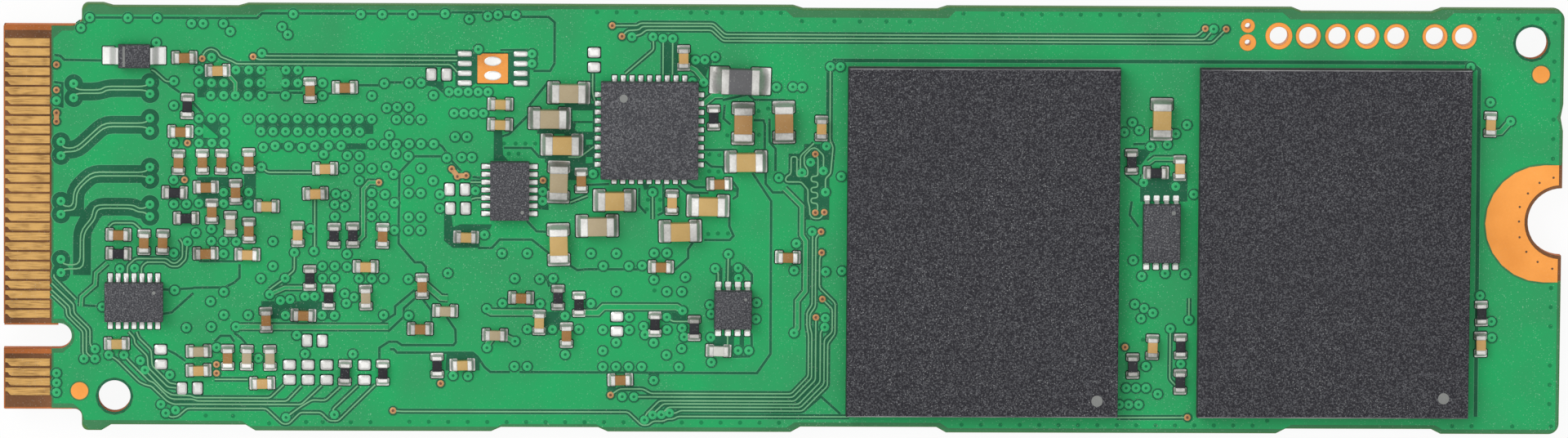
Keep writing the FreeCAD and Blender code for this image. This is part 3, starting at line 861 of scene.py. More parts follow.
# Painted highlight: a pale, patchy line along the top and bottom edges of a flash cap
RUBBED = Finish("rubbed_black_edge", "#a3a1a3", "#403f46", gloss=0.2, roughness=0.6,
                dust=0.6, dust_colour="#c8c6c6")
SLUG = Finish("footprint_copper", "#e0923f", "#a8652b", metallic=0.3, gloss=0.3,
              roughness=0.5, uneven=1.0, bump=0.3, dust=0.2)
SMALL_EPOXY = Finish("package_black", "#313137", "#838487", Pattern.DASHES, gloss=0.3,
                     roughness=0.58, uneven=0.2, bump=0.5, dust=0.6, dust_colour="#b9bbbb")
CARRIER = Finish("carrier_board", "#a9a89c", "#85867c", gloss=0.2, roughness=0.5)
MARK = Finish("laser_mark", "#8d8f8c", "#787a78", gloss=0.2, roughness=0.7, dust=0.1)
GLASS = Finish("resistor_black", "#1d1d21", "#2a2a2f", gloss=0.2, roughness=0.4, dust=0.3)
FERRITE = Finish("ferrite_grey", "#6a6a6c", "#58585a", gloss=0.3, roughness=0.55, bump=0.5)
BROWN = Finish("brown_ceramic", "#a47a48", "#8f6536", gloss=0.2, roughness=0.45, dust=0.3)
LARGE_BROWN = Finish("large_brown_ceramic", "#b48d5c", "#a17a49", gloss=0.2,
                     roughness=0.45, dust=0.3)
OCHRE = Finish("ochre_ceramic", "#d0a96e", "#c0975a", gloss=0.2, roughness=0.45, dust=0.3)
TAN = Finish("tan_ceramic", "#c9a768", "#b89658", gloss=0.3, roughness=0.4, dust=0.2)
GREY = Finish("grey_ceramic", "#b3a384", "#a39373", gloss=0.3, roughness=0.4, dust=0.2)
WHITE = Finish("white_ceramic", "#d8d8d0", "#c8c8c0", gloss=0.3, roughness=0.45, dust=0.1)


@dataclass
class Bench:
    """Stores meshes, hands out materials and hangs each piece under the root body."""

    cad: Cad
    groups: EffectGroups
    materials: dict[str, bpy.types.Material] = field(default_factory=dict)

    def material(self, finish: Finish) -> bpy.types.Material:
        """The material of a finish, made on its first use.

        Args:
            finish: The finish.

        Returns:
            Its material.
        """
        if finish.name not in self.materials:
            self.materials[finish.name] = finish.build(self.groups)
        return self.materials[finish.name]

    def add(self, name: str, surface: Surface, finishes: list[Finish], slot: str,
            replaces: tuple[str, ...] = (), crease: float = 35.0) -> None:
        """Stores a surface as a piece of the drive.

        Args:
            name: The piece's name.
            surface: Its faces, in mm.
            finishes: What the faces' finish numbers stand for.
            slot: The record's material slot; not used.
            replaces: The CAD nodes that it stands for.
            crease: Edges that bend by more degrees than this stay sharp.
        """
        mesh = bpy.data.meshes.new(name)
        faces = surface.quads.tolist() + surface.tris.tolist()
        mesh.from_pydata((surface.points * MM).tolist(), [], faces)
        numbers = np.concatenate([surface.quad_finish, surface.tri_finish])
        mesh.polygons.foreach_set("material_index", numbers.astype(np.int32))
        mesh.shade_smooth()
        mesh.set_sharp_from_angle(angle=math.radians(crease))
        for finish in finishes:
            mesh.materials.append(self.material(finish))
        piece = bpy.data.objects.new(name, mesh)
        bpy.context.scene.collection.objects.link(piece)
        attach(piece, ROOT)
        if replaces:
            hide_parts(*replaces)
        LOG.info("%s: %d faces", name, len(faces))

    def dress(self, node: str, *finishes: Finish) -> None:
        """Gives a CAD node that stays in view its finish.

        Args:
            node: The node's name.
            finishes: What its faces' finish numbers stand for.
        """
        mesh = self.cad.nodes[node].data
        mesh.materials.clear()
        for finish in finishes:
            mesh.materials.append(self.material(finish))
        LOG.info("%s: kept from the frame", node)


# Where the tracks run

GREEN_VIAS: Path = traced("""
-35.6,10.28 -36.05,9.75 -33.65,10.27 -32.15,10.27 -30.4,10 -32.2,9 -31.3,7.03 -31.3,5.77
-31.3,3.85 -31.3,1.95 -31.3,0.7 -30.65,0.7 -37.3,6 -34.05,-2.65 -33.3,-2.62 -31.3,-1.83
-30.6,-1.25 -31.25,-3.75 -30.65,-5.68 -35.33,-6.8 -35.9,-7.3 -35.33,-7.3 -34.62,-7.1 -33.85,-7.1
-33,-7.4 -32.77,-7.88 -31.5,-8.12 -31.95,-9.65 -31.2,-9.95 -31.7,-10.1 -37.3,-8.05 -37.3,-8.55
-37.3,-9.05 -34.95,-4.62 -29.81,10 -28.77,10 -28.42,9.6 -25.77,9.84 -25.48,9.44 -29.37,8.26
-29.41,6.31 -28.75,6.31 -28.16,6.31 -27.5,6.31 -26.8,6.31 -25.59,6.31 -23.7,6.31 -21.17,6.31
-20.41,5.68 -30.01,5.1 -29.37,5.1 -28.75,5.1 -30.01,4.46 -28.73,4.46 -20.27,4.28 -30.01,3.85
-29.35,3.85 -28.73,3.85 -26.72,3.64 -26.12,3.71 -25.42,3.69 -24.75,3.63 -24.1,3.71 -23.39,3.73
-22.74,3.73 -21.18,3.82 -20.54,3.82 -23.63,3.29 -22.42,3.22 -21.8,3.21 -26.82,2.62 -22.6,2.56
-21.8,2.56 -21.16,2.56 -20.41,2.66 -28.1,2.59 -21.8,1.93 -28.75,1.31 -27.47,1.33 -23,1.25
-22.51,1.18 -21.17,1.31 -20.48,1.23 -23.06,0.7 -22.55,0.6 -21.17,0.7 -30.01,0.75 -28.75,0.73
-27.48,0.71 -23.05,0.07 -21.17,0.1 -20.52,0.07 -30.17,-0.78 -29.37,-0.58 -29.37,-1.21
-28.75,-1.21 -28.1,-1.23 -28.75,-1.86 -24.28,-0.55 -26.22,-1.21 -26.22,-2.49 -25.12,-1.78
-24.12,-1.7 -22.42,-1.85 -26.84,-3.12 -25.59,-3.11 -23.68,-2.49 -23.05,-2.49 -22.42,-2.52
-23.68,-3.11 -23.06,-3.11 -21.8,-3.11 -21.15,-3.11 -20.54,-3.11 -28.73,-3.82 -29.41,-4.32
-26.38,-3.95 -25.83,-4.27 -25.33,-4.21 -24.57,-4.05 -24.08,-4.05 -22.53,-3.9 -22.05,-4.08
-22.45,-4.39 -28.73,-5.02 -27.48,-5.02 -25.57,-5.02 -23.7,-5.02 -23.06,-5.04 -20.54,-5
-29.37,-5.63 -28.1,-5.63 -24.56,-7.02 -22.11,-7.02 -26.95,-7.25 -25.53,-10.31 -23.05,-10.16
-26.8,8.48 -24.99,-6.05 -29.1,-6.7 -25.2,10.5 -21.75,10.5 -20.65,10.5 -19.1,10.5 -17.44,10.55
-16.2,10.28 -15.25,10.43 -14.73,10.5 -13.82,10.5 -17.67,1.24 -17.67,0.52 -15.85,1.43 -7.12,-5.97
-5.1,-6.08 -3.7,-7.38 -15.73,8.72 -12.98,8.5 -12.98,8 -19.27,6.99 -18.65,6.99 -18.02,6.35
-19.88,5.72 -19.27,5.73 -19.91,5.1 -19.27,5.1 -18.65,5.1 -16.9,4.21 -16.3,4.21 -19.91,3.82
-19.25,3.84 -18.65,3.84 -18,3.84 -19.94,3.34 -19.29,3.21 -17.33,3.12 -16.56,3.16 -16.04,3.16
-18.65,2.58 -20.04,2.27 -19.27,1.96 -18.02,1.94 -19.27,1.31 -18.65,1.31 -20,0.81 -19.27,0.07
-18.65,0.07 -12.4,1.41 -12.4,0.91 -20,-0.62 -19.27,-0.62 -18.65,-0.62 -15.38,-0.83 -14.48,-1.79
-13.18,-1.79 -19.27,-3.14 -17.25,-2.82 -13.82,-3.09 -12.53,-3.11 -11.85,-3.08 -14.44,-4.37
-12.51,-4.39 -15.25,-4.65 -19.25,-5.02 -11.23,-5.02 -13.16,-5.71 -11.87,-5.71 -10.52,-5.71
-13.79,-6.33 -15.23,-6.67 -11.21,-7.01 -13.82,-7.64 -13.16,-7.64 -16.96,-8.12 -16.2,-8.14
-7.87,9.4 -6.79,9.4 -6.28,9.33 -5.78,9.31 -4.61,8.21 -4.13,8.22 -3.6,8.37 -4.18,7.06 -4.76,7.1
-0.45,6.83 -9.83,2.33 -0.29,2.16 -6.77,1.39 -9.91,-1.78 -8.61,-1.78 -6.67,-1.75 -6.02,-1.75
-9.28,-2.43 -7.96,-2.43 -7.28,-2.4 -5.06,-2.99 -6.67,-3.12 -8.61,-3.75 -6.01,-3.74 -5.24,-3.74
-9.91,-4.37 -5.2,-4.73 -2.86,-1.8 -3.53,-2.54 -2.35,-2.51 -2.33,-3.04 -3.79,-4.42 -3.72,-4.89
-1.39,-4.3 -1.42,-5.15 -7.93,-5.06 -6,-5.06 -9.28,-5.73 -7.93,-5.73 -7.19,-5.54 -5.99,-5.71
-5.21,-5.62 -8.6,-6.38 -6.67,-6.38 -3.74,-6.1 -9.28,-6.81 -5.23,-6.68 -6.01,-7.02 -2.33,-6.78
-1.78,-6.78 -9.28,-7.64 -8.6,-7.64 -7.95,-7.64 -7.28,-7.64 -5.37,-7.64 -6.66,-8.33 -8.27,-9.18
-7.67,-9.19 -7.12,-10.39 -6.7,-10.13 -6.25,-10.11 -5.83,-10.02 0.39,6.85 0.87,6.83 2.31,7.9
2.82,7.9 2.14,3.8 1.33,2.97 1.99,2.53 0.89,2.43 2.91,2.24 2.1,1.43 1.44,-0.62 2.14,-2.69
2.98,-2.64 2.14,-5.08 2.12,-5.55 0.63,-1.23 0.52,-2.62 0.54,-5.85 17.84,5.08 17.43,4.57
18.19,4.68 20.07,4.5 18.78,3.84 19.65,3.95 18.45,1.98 20.1,1.78 17.95,-2.04 18.4,-2.86
19.6,-2.71 18.06,-4.32 18.54,-4.53 18.99,-4.76 18.39,-5.05 19.9,-5.58 18.67,-7.53 17.66,-8.66
18.17,-8.66 18.68,-8.66 19.29,-8.97 17.32,-9.52 17.8,-9.52 18.31,-9.52 20.64,4.96 21.03,1.38
20.64,-2.75 20.85,-5.11 20.46,-7.4 21.96,9.91 36.24,6.19 37.29,5.21 35.84,-3.81 36.45,-5.15
36.48,-5.99 35.2,8""")[0]

VIA_ROWS: list[tuple[float, tuple[float, ...]]] = [
    (7.61, (-30.01, -28.13, -27.47, -26.85, -25.57, -24.96)),
    (6.95, (-30.01, -29.37, -28.75, -27.48, -26.84, -25.59, -24.96, -23.7, -20.54)),
    (5.1, tuple(-27.5 + 0.632 * i for i in range(11))),
    (4.46, tuple(-26.85 + 0.632 * i for i in range(9))),
    (6.53, (-17.22, -16.75, -16.24, -15.73, -15.23)),
    (5.43, (-16.96, -16.46, -15.96, -15.46))]

COPPER_VIAS: Path = traced("""
-37.3,7.85 -37.3,6.55 -37.3,5.38 -37.3,4.93 -30.6,3.85 -30.75,1.95 -29.85,8.19 -27.25,8.3
-20.8,1.85 -29.1,-7.58 -29.1,-8.03 -20.04,-9.94 -17.6,-8.53 -17.07,2.56 -16.78,2.17 -16.33,2.22
-12.39,1.98 -8.88,9.97 -8.38,9.42 -8.87,-9.1 1.59,0.37 2.05,0.39 1.57,3.39 1.89,-0.62 1.93,-1.7
1.99,-4.1 1.66,-5.05 17.58,-6.54 20.83,-10.18 21.53,9.93 22.6,9.91""")[0]

STITCHES: Path = (traced("""
9.11,10.65 -14.4,3.87 -13.8,3.87 -13.3,3.87 -12.8,3.87 -14.15,3.35 -13.65,3.35 -10.55,4.75
-10.06,4.75 -10.06,3.97 -10,3.03 -29.65,-10.23 -28.25,-10.25 -26.4,-10.62 -24.5,-10.55
-23.65,-10.55 -22.2,-10.55 -21.2,-10.55 24.95,-10.35 -0.87,5.72 -1.36,5.6 -3.87,3.35 -3.35,3.32
-3.87,2.48 -3.4,2.46 -2.53,1.52 -7,1 -6.38,1 -7.06,0.5 -6.39,0.5 -1.33,4.37 -2.95,4.34 -6.64,-3.69
-3.9,-0.76 -3.4,-0.73 -2.88,-0.73 18.6,1.39 19.12,1.39 19.62,1.39 18.5,-6.16""")[0]
    + [(x, 10.65) for x in (-9.66, -8.66, -7.66, -4.86, -4.05, -3.26, -2.25, -1.25, -0.25)]
    + [(x, 10.23) for x in (0.83, 2.5, 3.8, 5.16, 6.36)]
    + [(11.12 + 1.003 * i, 10.62) for i in range(9)]
    + [(x, -10.52) for x in np.arange(-19.2, 0.0, 1.0).tolist()]
    + [(x, -10.6) for x in np.arange(9.2, 25.0, 1.0).tolist()]
    + [(39.5, y) for y in (10.3, 8.3, 7.3, 6.3, 5.3, 4.3, 3.28, -3.41, -4.4, -5.4, -7.43,
                           -8.43, -9.43)]
    + [(x, 10.5) for x in (35.6, 36.6, 37.6, 38.6)]
    + [(x, -10.6) for x in (34.5, 35.5, 37.6, 39.6)])

# Thin tracks: a light line in a dark gap
THIN: list[Path] = traced("""
-32.45,7.6 -32.3,7.55 -31.7,7 -31.3,7.03; -37.43,-2.95 -37.43,-3.1 -36.3,-4.25; -37.55,-3.4
-37.35,-3.6 -36.42,-4.5 -36.4,-4.95 -35.58,-5.77 -35.58,-6.6 -35.33,-6.8; -37.55,-3.75
-36.62,-4.62 -36.6,-5.02 -35.77,-5.83 -35.77,-7 -35.4,-7.3; -37.55,-4 -36.8,-4.7 -36.78,-5.07
-35.95,-5.9 -35.95,-7 -35.87,-7.3; -34.63,-0.5 -34.4,-0.28 -33.35,-0.28 -33,-0.6; -33.67,-2.9
-33.67,-2.5 -33.25,-2.12 -31.65,-2.12 -31.4,-2.35 -31.15,-2.35 -30.85,-2.05 -30.85,-1.3
-31,-1.1; -32.95,-2.9 -32.95,-2.55 -32.7,-2.3 -31.75,-2.3 -31.45,-2.52 -31.05,-2.52 -30.68,-2.15
-30.6,-1.25; -33.6,-5.9 -33.3,-6.25 -33.3,-6.5 -32.65,-7.15 -32.6,-7.75 -31.6,-8.75 -31.15,-8.8;
-33.2,-5.9 -33.1,-6.2 -32.45,-6.85 -32.4,-7.65 -31.5,-8.55 -31.15,-8.6; -26.8,8.48 -26.6,8.35
-16.8,8.35; -27.25,8.3 -27,8.15 -16.8,8.15; -29.85,8.19 -29.8,8.4 -29.65,8.6 -29.4,8.7
-29.1,8.58 -28.95,8.3 -28.3,8.05 -28.1,7.93 -17.15,7.93 -16.8,7.55; -26.82,2.62 -26.5,2.35
-24.2,2.35; -24.08,0.95 -24.08,-1.5; -25.12,-1.78 -25.12,-2.7 -25.59,-3.11; -25.59,-3.11
-26.4,-3.7; -29.2,-8.35 -27.5,-8.35; -32.77,-7.88 -31.75,-8.95 -31.4,-9.16 -30.4,-9.2 -30.2,-9.3
-26.35,-9.3 -25.65,-8.62; -33.85,-7.1 -33.6,-7.4 -32.55,-8.45 -32.35,-8.5 -31.55,-9.3
-31.3,-9.38 -30.3,-9.38 -30.1,-9.47 -25.5,-9.47 -24.75,-8.68; -34.62,-7.1 -34.2,-7.35
-33.05,-8.5 -32.7,-8.66 -32.45,-8.7 -31.62,-9.5 -31.3,-9.64 -24.75,-9.64 -23.7,-8.65;
-31.7,-10.1 -31.45,-10.32 -31.1,-10.28 -30.6,-9.85 -26.55,-9.85 -25.7,-10.65 -25.4,-10.65
-24.8,-10.05 -23.75,-10.05 -23.3,-10.48 -22.85,-10.48 -20.95,-8.6; -6,-5.06 -5.7,-5.28
-4.9,-5.28; -3.53,-2.54 -3.37,-2.75 -3.37,-3.35; -2.86,-1.8 -2.88,-3.35; -2.87,-5.9 -2.87,-6.5;
-16.1,1.88 -15.4,1.88; -16.05,1 -15.85,1.07 -15.4,1.07; -11.1,3.19 -10.5,3.19 -9.8,3.73;
-11,0.85 -10.1,1.2; -6.77,1.39 -6.75,0; -9.87,7.5 -9.87,6.5 -9.75,6.1; -25.53,-10.31 -24.85,-9.8
-24.2,-9.4 -23.5,-9.42 -22.75,-8.72; -23.05,-10.16 -23.15,-9.9 -21.85,-8.65; -20.04,-9.94
-19.6,-9.98 -7.97,-9.98 -7.25,-10.66 -6.93,-10.66 -6.67,-10.45 -6.15,-10.45 -5.95,-10.34
-5.65,-10.34 -5.4,-10.2 3.4,-10.2; -8.88,9.97 -7.6,9.98 -7.45,10.1 -3.7,10.1 -3.1,9.54 21.1,9.54
21.53,9.93; -8.38,9.42 -8.1,9.72 -7.5,9.76 -7.35,9.93 -3.75,9.95 -3.15,9.36 21.5,9.36
21.96,9.91; -7.87,9.4 -7.4,9.53 -7.15,9.75 -3.8,9.75 -3.2,9.2 21.9,9.2 22.6,9.91; -6.79,9.4
-6.75,8.75 -8.2,7.5; -6.27,9.3 -6.27,7.45; -5.78,9.3 -5.78,7.45; -8.87,-9.1 -8.4,-8.78
-7.2,-8.78 -6.8,-9.01 0.42,-9.01 1.29,-8.1 1.29,-6 1.2,-5.5 1.2,-4.8 1.46,-4.4 1.46,-0.7;
-7.67,-9.19 0.5,-9.19 1.46,-8.2 1.46,-5.9 1.35,-5.5 1.35,-4.9 1.63,-4.5 1.63,-0.9 1.89,-0.62;
-7.12,-10.39 -7.05,-10.1 -6.35,-9.39 0.6,-9.39 1.66,-8.3 1.66,-5.05; -6.7,-10.13 -6.6,-9.98
-6.15,-9.55 0.8,-9.55 1.9,-8.4 1.9,-5.8 2.12,-5.55; -6.25,-10.11 -6.05,-9.88 -5.9,-9.72
0.9,-9.72 2.1,-8.5 2.1,-6.2 2.5,-5.8 2.5,-4.6 1.99,-4.1; -5.83,-10.02 -5.5,-10.03 -5.3,-9.9
1,-9.9 2.28,-8.6 2.28,-6.4 2.65,-5.9 2.65,-4.3 1.83,-3.5 1.83,-2 1.93,-1.7; 17.2,-10.2
20.83,-10.18; 1.57,3.39 1.71,3.2 1.71,2.26 1.37,2.24 1.37,1.97 1.71,1.95 1.71,1.68 1.37,1.66
1.37,1.42 1.71,1.4 1.71,1.13 1.37,1.11 1.37,0.87 1.71,0.84 1.71,0.5 1.59,0.37; 1.99,2.53 2,3.32
1.62,3.7 1.38,3.7 1,3.3 1,2.84 1.2,2.56 1.18,2.24 0.63,2.24 0.63,3.25 0.33,3.25 0.33,2.36
0.06,2.2 0.06,1.95 0.86,1.95 1.21,1.55 1.21,0.94 1.3,0.66 1.31,0.25 1.48,0.06 1.85,0.06
2.05,0.39; 0.87,2.45 0.81,2.6 0.81,3.3 1.5,3.95; 2.31,7.9 2.32,4.1 2.48,3.75 2.36,2.38 2.1,2.14
2.1,1.43; 19.9,-5.58 19.9,-8.2 20.2,-8.5; 20.85,-5.11 20.85,-4""")

# The tracks of four pairs, each with a via and a lobe of gap at both ends
PAIRS: list[Path] = traced("""
-36.42,6.88 -36.3,6.56 -35.02,6.56 -34.82,6.745 -32.75,6.745 -32.52,6.96; -36.42,6.15
-36.3,6.385 -34.95,6.385 -34.76,6.57 -32.75,6.57 -32.52,6.37; -37.07,3.89 -36.95,3.56
-36.31,3.56 -34.9,4.86 -32.75,4.86 -32.52,5.12; -37.07,3.17 -36.95,3.38 -36.22,3.38 -34.83,4.68
-32.75,4.68 -32.52,4.46; -37.07,0.83 -36.93,0.56 -36.44,0.56 -36.42,1.42 -35.52,2.33 -32.75,2.33
-32.52,2.6; -37.07,0.15 -36.93,0.36 -36.29,0.36 -36.27,1.35 -35.45,2.14 -32.75,2.14 -32.52,1.95;
-37.07,-2.17 -36.93,-2.46 -36.09,-2.46 -36.07,-0.7 -35.48,-0.02 -35.43,0.4 -35.24,0.645
-33.35,0.645 -33.1,0.47 -32.8,0.47 -32.52,0.67; -37.07,-2.86 -36.93,-2.66 -35.91,-2.66
-35.91,-0.78 -35.33,-0.12 -35.27,0.25 -35.1,0.47 -33.45,0.47 -33.12,0.28 -32.8,0.28 -32.52,0.05""")

# The wide gaps that the pairs lie in
PAIR_GAPS: list[Path] = traced("""
-36.42,6.47 -35.2,6.47 -34.6,6.66 -32.52,6.66; -37.07,3.47 -36.27,3.47 -34.86,4.77 -32.52,4.77;
-36.36,0.05 -36.34,1.38 -35.48,2.235 -32.52,2.235; -36,-2.98 -35.99,-0.7 -35.24,0.55 -33.4,0.55
-33.05,0.38 -32.52,0.38""")

# Wide tracks: green between two dark lines
WIDE: list[tuple[float, Path]] = [(path[0][0], path[1:]) for path in traced("""
0.2 -28.45,7.3 -28.15,6.95 -28.16,6.31; 0.22 -20.8,1.85 -21.3,1.85 -21.6,1.5 -21.6,-0.9
-22,-1.3; 0.22 -26.38,-3.95 -25.6,-3.6 -24.7,-3.6; 0.3 -28.1,-5.63 -20.3,-5.62; 0.33 -10.6,-4.84
-9.55,-4.84 -9.25,-4.54 -5.5,-4.54 -5.2,-4.73; 0.33 -15.25,-4.7 -15,-4.84 -12.8,-4.84; 0.3
-17.25,-4.12 -17.6,-4.1 -18.4,-3.4; 0.3 -15,-6.2 -15.2,-6.5; 0.3 -14.3,-6.1 -13.79,-6.33; 0.25
-4.9,7.85 -4.6,7.7 -4.18,7.2; 0.25 0.54,-5.85 0.7,-5.6 0.7,-4.2 1.1,-3.7 1.1,-1.1 0.9,-0.8
0.9,0.7 0,1.6; 0.3 -4.2,5.95 -3.65,6.4 -3.2,6.42; 0.22 18.45,1.98 18.45,2.4; 0.22 18.7,3 19,3.22
20,3.22; 0.2 -34.7,-2.35 -35.28,-2.88 -35.32,-3.48 -36.02,-4.1 -36.05,-4.6; 0.3 37.27,5.2
36.8,4.66 36.45,4.62""")]

# Gaps that only part two copper areas
GAPS: list[Path] = traced("""
-37.4,8.35 -37.1,8.3 -36.9,8.1 -34.85,8.07; -32.5,7.65 -32.2,7.4 -31.8,7.15 -31.5,6.8 -31,6.45;
-30.3,5.9 -29.8,5.35; -26.6,6.45 -24.7,6.45; -21.85,6.85 -20.8,6.85; -23.4,6.42 -22,6.42;
-30.3,-3.62 -28.7,-3.6 -28.2,-3.35 -27.93,-3.1 -27.93,-2.4; -28.2,-5.95 -27.85,-6.2 -27.6,-6.5;
-29.2,-6.4 -28.9,-6.1 -28.4,-6.1 -28.2,-6.4; -20.3,-6.4 -20.75,-6.7 -20.75,-7.3; -30,-2.25
-28,-2.25; -1.65,2.4 -0.68,0.95 -0.66,-6.95 -1.35,-7.95 -13.55,-7.93; -19.78,0 -19.78,-1.3
-19.4,-1.75 -18.95,-2.27 -18.6,-2.27 -18.38,-2.5 -18.38,-2.8; -18.95,-3.7 -19.95,-4.55
-19.95,-4.95 -20.7,-5.45; -18.95,-4.15 -19.5,-4.65 -19.52,-5.1 -20.3,-5.85; -18.55,-4.15
-18.1,-4.75 -18.08,-5.3; -17.3,-5.1 -16.85,-5.75 -16.83,-6.4 -16.95,-6.55 -19.6,-6.55
-19.85,-6.38 -20.3,-6.38; -20.2,-6.77 -20,-6.77 -19.85,-6.94 -15.95,-6.94 -15.7,-7.15
-15.35,-7.68 -15.05,-7.93 -14.05,-7.93; -15.7,-1.52 -15,-1.52 -14.6,-1.08 -12.95,-1.08
-12.1,-1.75; -13.2,-0.13 -12.7,-0.65 -12.1,-0.68; -11,-2.4 -10.6,-2.65 -10.1,-2.6; -12.2,-2.95
-12.05,-3.5; -4.1,-1.07 -2.8,-1.07 -2.6,-0.85 -2.82,-0.35 -2.82,0.3; -4.65,-1.15 -4.92,-1.55
-4.92,-2 -5.65,-2.65; -2.1,-2.35 -1.65,-2.85 -1.63,-3.35; -3.22,-2.5 -3.22,-3.35; -1.65,-5.9
-1.62,-6.85 -1.75,-7.08 -2.6,-7.1; -3.2,6.15 -1.9,6.45 -1.6,6.17 0,6.17; -3.1,5.9 -3.15,5.2
-2.8,4.9; -1.6,5.12 -1.1,5.12 -1.03,4.9 -1.03,3.65; -0.8,5.2 -0.78,4 -0.47,3.65 -0.47,2.5;
-0.97,2.4 -0.97,1.85 -0.6,1.4 0,1.4; -4.1,3.58 -2.5,3.58; -4.1,3 -3.75,2.72 -3.2,2.7 -3.05,2.35;
-5.45,1.75 -5.05,1.38 -3.9,1.36; -5,1.9 -4.6,1.65 -4,1.65; -2.65,1.95 -2.4,1.6 -2.42,1.2
-2.65,1.05; -7.45,1.6 -7.45,0.7 -7.1,0.3; -6.22,1.9 -6.2,0.35 -6.5,0.2; -10.1,1.75 -9,1.8;
-10.1,5.85 -9.75,5.55; -10.1,4.2 -9.8,3.95; -10.1,3.4 -9.75,3.7; -10.1,-2.6 -7.3,-2.6;
-35.93,-4.55 -35,-4.6; -31.8,-3.72 -30.3,-3.65; -31.85,-4.98 -31.4,-4.9 -30.3,-3.9; -31.9,-3.7
-31.3,-3.75; -31.7,-6.8 -31.2,-7.05 -30.7,-7.4; -36.1,9.65 -35.55,10.2 -35.3,10.28 -27.05,10.28
-26.8,10.53 -17.35,10.53 -17.1,10.62 -15.1,10.62 -14.85,10.45 -14.3,10.4 -12.15,10.4
-11.83,10.12 -11.83,8 -12.05,7.62 -12.9,7.62; -14.6,8.68 -13.2,8.7 -12.75,8.5 -12.75,7.9
-12.98,7.7; -12.2,7 -13.1,5.85; -13.15,5.35 -14.15,4.35 -14.6,4.2; -14.4,3.65 -13,3.65 -12.6,3.2
-11.9,3.1; -17.9,3.95 -17.55,3.7 -17.35,3.4; -17.1,3 -16.6,2.45; -19,3.2 -17.6,3.2; -19,3.15
-19.75,2.35 -19.78,0; -20.4,7 -19.3,7; -18.6,6.95 -17.9,6.85 -17.5,6.5; 1.95,-9.15 2.95,-10.05;
1.15,-9.85 1.95,-9.15; 2.17,7.75 2.17,5.45; 17.9,3.95 18.6,3.98; 17.55,2.35 18.1,1.9 18.5,1.75;
17.85,1 17.75,0.3 18.2,-0.3; -16,2.15 -15.6,2.1; -37.42,5.8 -37,5.7 -37,6.9 -37.42,6.95""")

# The gap round the two flash packages, with a painted highlight rim under it
FLASH_GAP: Path = traced("""
2.31,7.9 2.5,8.22 35.2,8.22 35.65,7.85 35.7,-10.1""")[0]

# Areas of dark gap under rows of vias, and patches of painted shadow between and beside the large
# capacitors near x -12.7 to -9.7
DARK_FIELDS: list[Path] = traced("""
-30.1,7.75 -26.8,7.75 -26.8,6.2 -30.1,6.2; -25.7,7.7 -24.8,7.7 -24.8,6.6 -25.7,6.6; -27.1,5.25
-21.1,5.25 -21.1,4.35 -27.1,4.35; -30.1,5.2 -28.6,5.2 -28.6,3.7 -30.1,3.7; -26.9,3.85 -21.2,3.85
-21.2,3.55 -26.9,3.55; -27.7,2.3 -27.1,2.3 -27.1,0.6 -27.7,0.6; -30.1,2.1 -28.5,2.1 -28.5,0.5
-30.1,0.5; -26.8,-4.3 -23.1,-4.3 -23.1,-5.2 -26.8,-5.2; -14.92,4.55 -14.5,4.55 -14.45,3.3
-14.2,3 -14.92,3; -16.9,8.7 -16.05,8.7 -15.7,8.45 -15.7,7.1 -16.05,6.85 -16.9,6.85; -14.2,8.6
-13.1,8.6 -13.1,6.8 -13.9,6.8 -14.2,7.1; -18.4,7.1 -17.5,7.05 -17.5,6.6 -17.8,6.75 -18.4,6.85;
-12.7,4.68 -10.75,4.68 -10.6,4.38 -12.7,4.38; -12.3,3.3 -11.3,3.3 -11.3,2.9 -12.3,2.9;
-11.3,5.95 -9.7,5.95 -9.7,2.7 -10.2,2 -11.3,2; -12.6,1.9 -12.15,1.9 -12.1,0.45 -12.6,0.5;
-20.2,3.95 -18.1,3.95 -18.1,3.7 -20.2,3.7; -6.35,9.2 -5.5,9.2 -5.5,7.5 -6.35,7.5; -17.3,-6.95
-15.95,-6.95 -15.6,-7.4 -15.6,-7.85 -17.35,-7.85; -17.45,0.3 -17.1,0.3 -17,-0.45 -16.6,-0.3
-15,-0.3 -15.1,-0.55 -15.65,-0.6 -15.65,-1.5 -17,-1.52 -17.45,-1.15; -12.2,-4.8 -11.5,-4.8
-11.4,-5.35 -11.7,-6 -12.3,-6 -12.35,-5.3; -5.85,-4.8 -5,-4.85 -5,-5.2 -5.85,-5.2; -2.78,-2.4
-2.55,-2.4 -2.55,-3.35 -2.78,-3.35; -3.5,-6 -2.55,-6 -2.55,-6.6 -3.6,-6.55; -2.25,-5.95
-2.03,-5.95 -2.03,-6.6 -2.25,-6.6; -6.95,-7.95 -6.35,-7.95 -6.45,-8.3 -6.85,-8.3; -9.05,-8.7
-8.6,-8.7 -8.6,-8.95 -9.05,-9; -4.9,8.5 -3.7,8.2 -3.95,7.8 -4.1,7.3 -4.6,7.8 -4.9,7.95; -7.3,1.9
-6.9,1.9 -7,1.55 -7.2,1.5; 1,3.9 2.3,3.9 2.3,0 1,0; 0.2,3.4 1,3.4 1,1.8 0.2,1.8; 18.28,2.3
20.7,2.3 20.7,1 18.28,1; 18.1,3.7 18.9,3.7 18.3,2.9 18.1,2.9""")

# Copper that shows green again within a dark area
GREEN_AREAS: list[Path] = traced("""
-26.6,7.55 -25.95,7.8 -25.75,7.4 -25.8,6.65 -26.6,6.65; -29.8,4.85 -29.05,4.2 -29.05,4.1
-29.8,4.12; -10.9,5.6 -9.85,5.6 -9.85,5.05 -10.9,5.05; -10.7,4.95 -9.85,4.95 -9.85,4.5
-10.65,4.5 -10.78,4.65; -10.2,4.1 -9.85,4.1 -9.85,3.85 -10.2,3.82; -10.2,3.2 -9.85,3.2 -9.85,2.9
-10.2,2.87""")

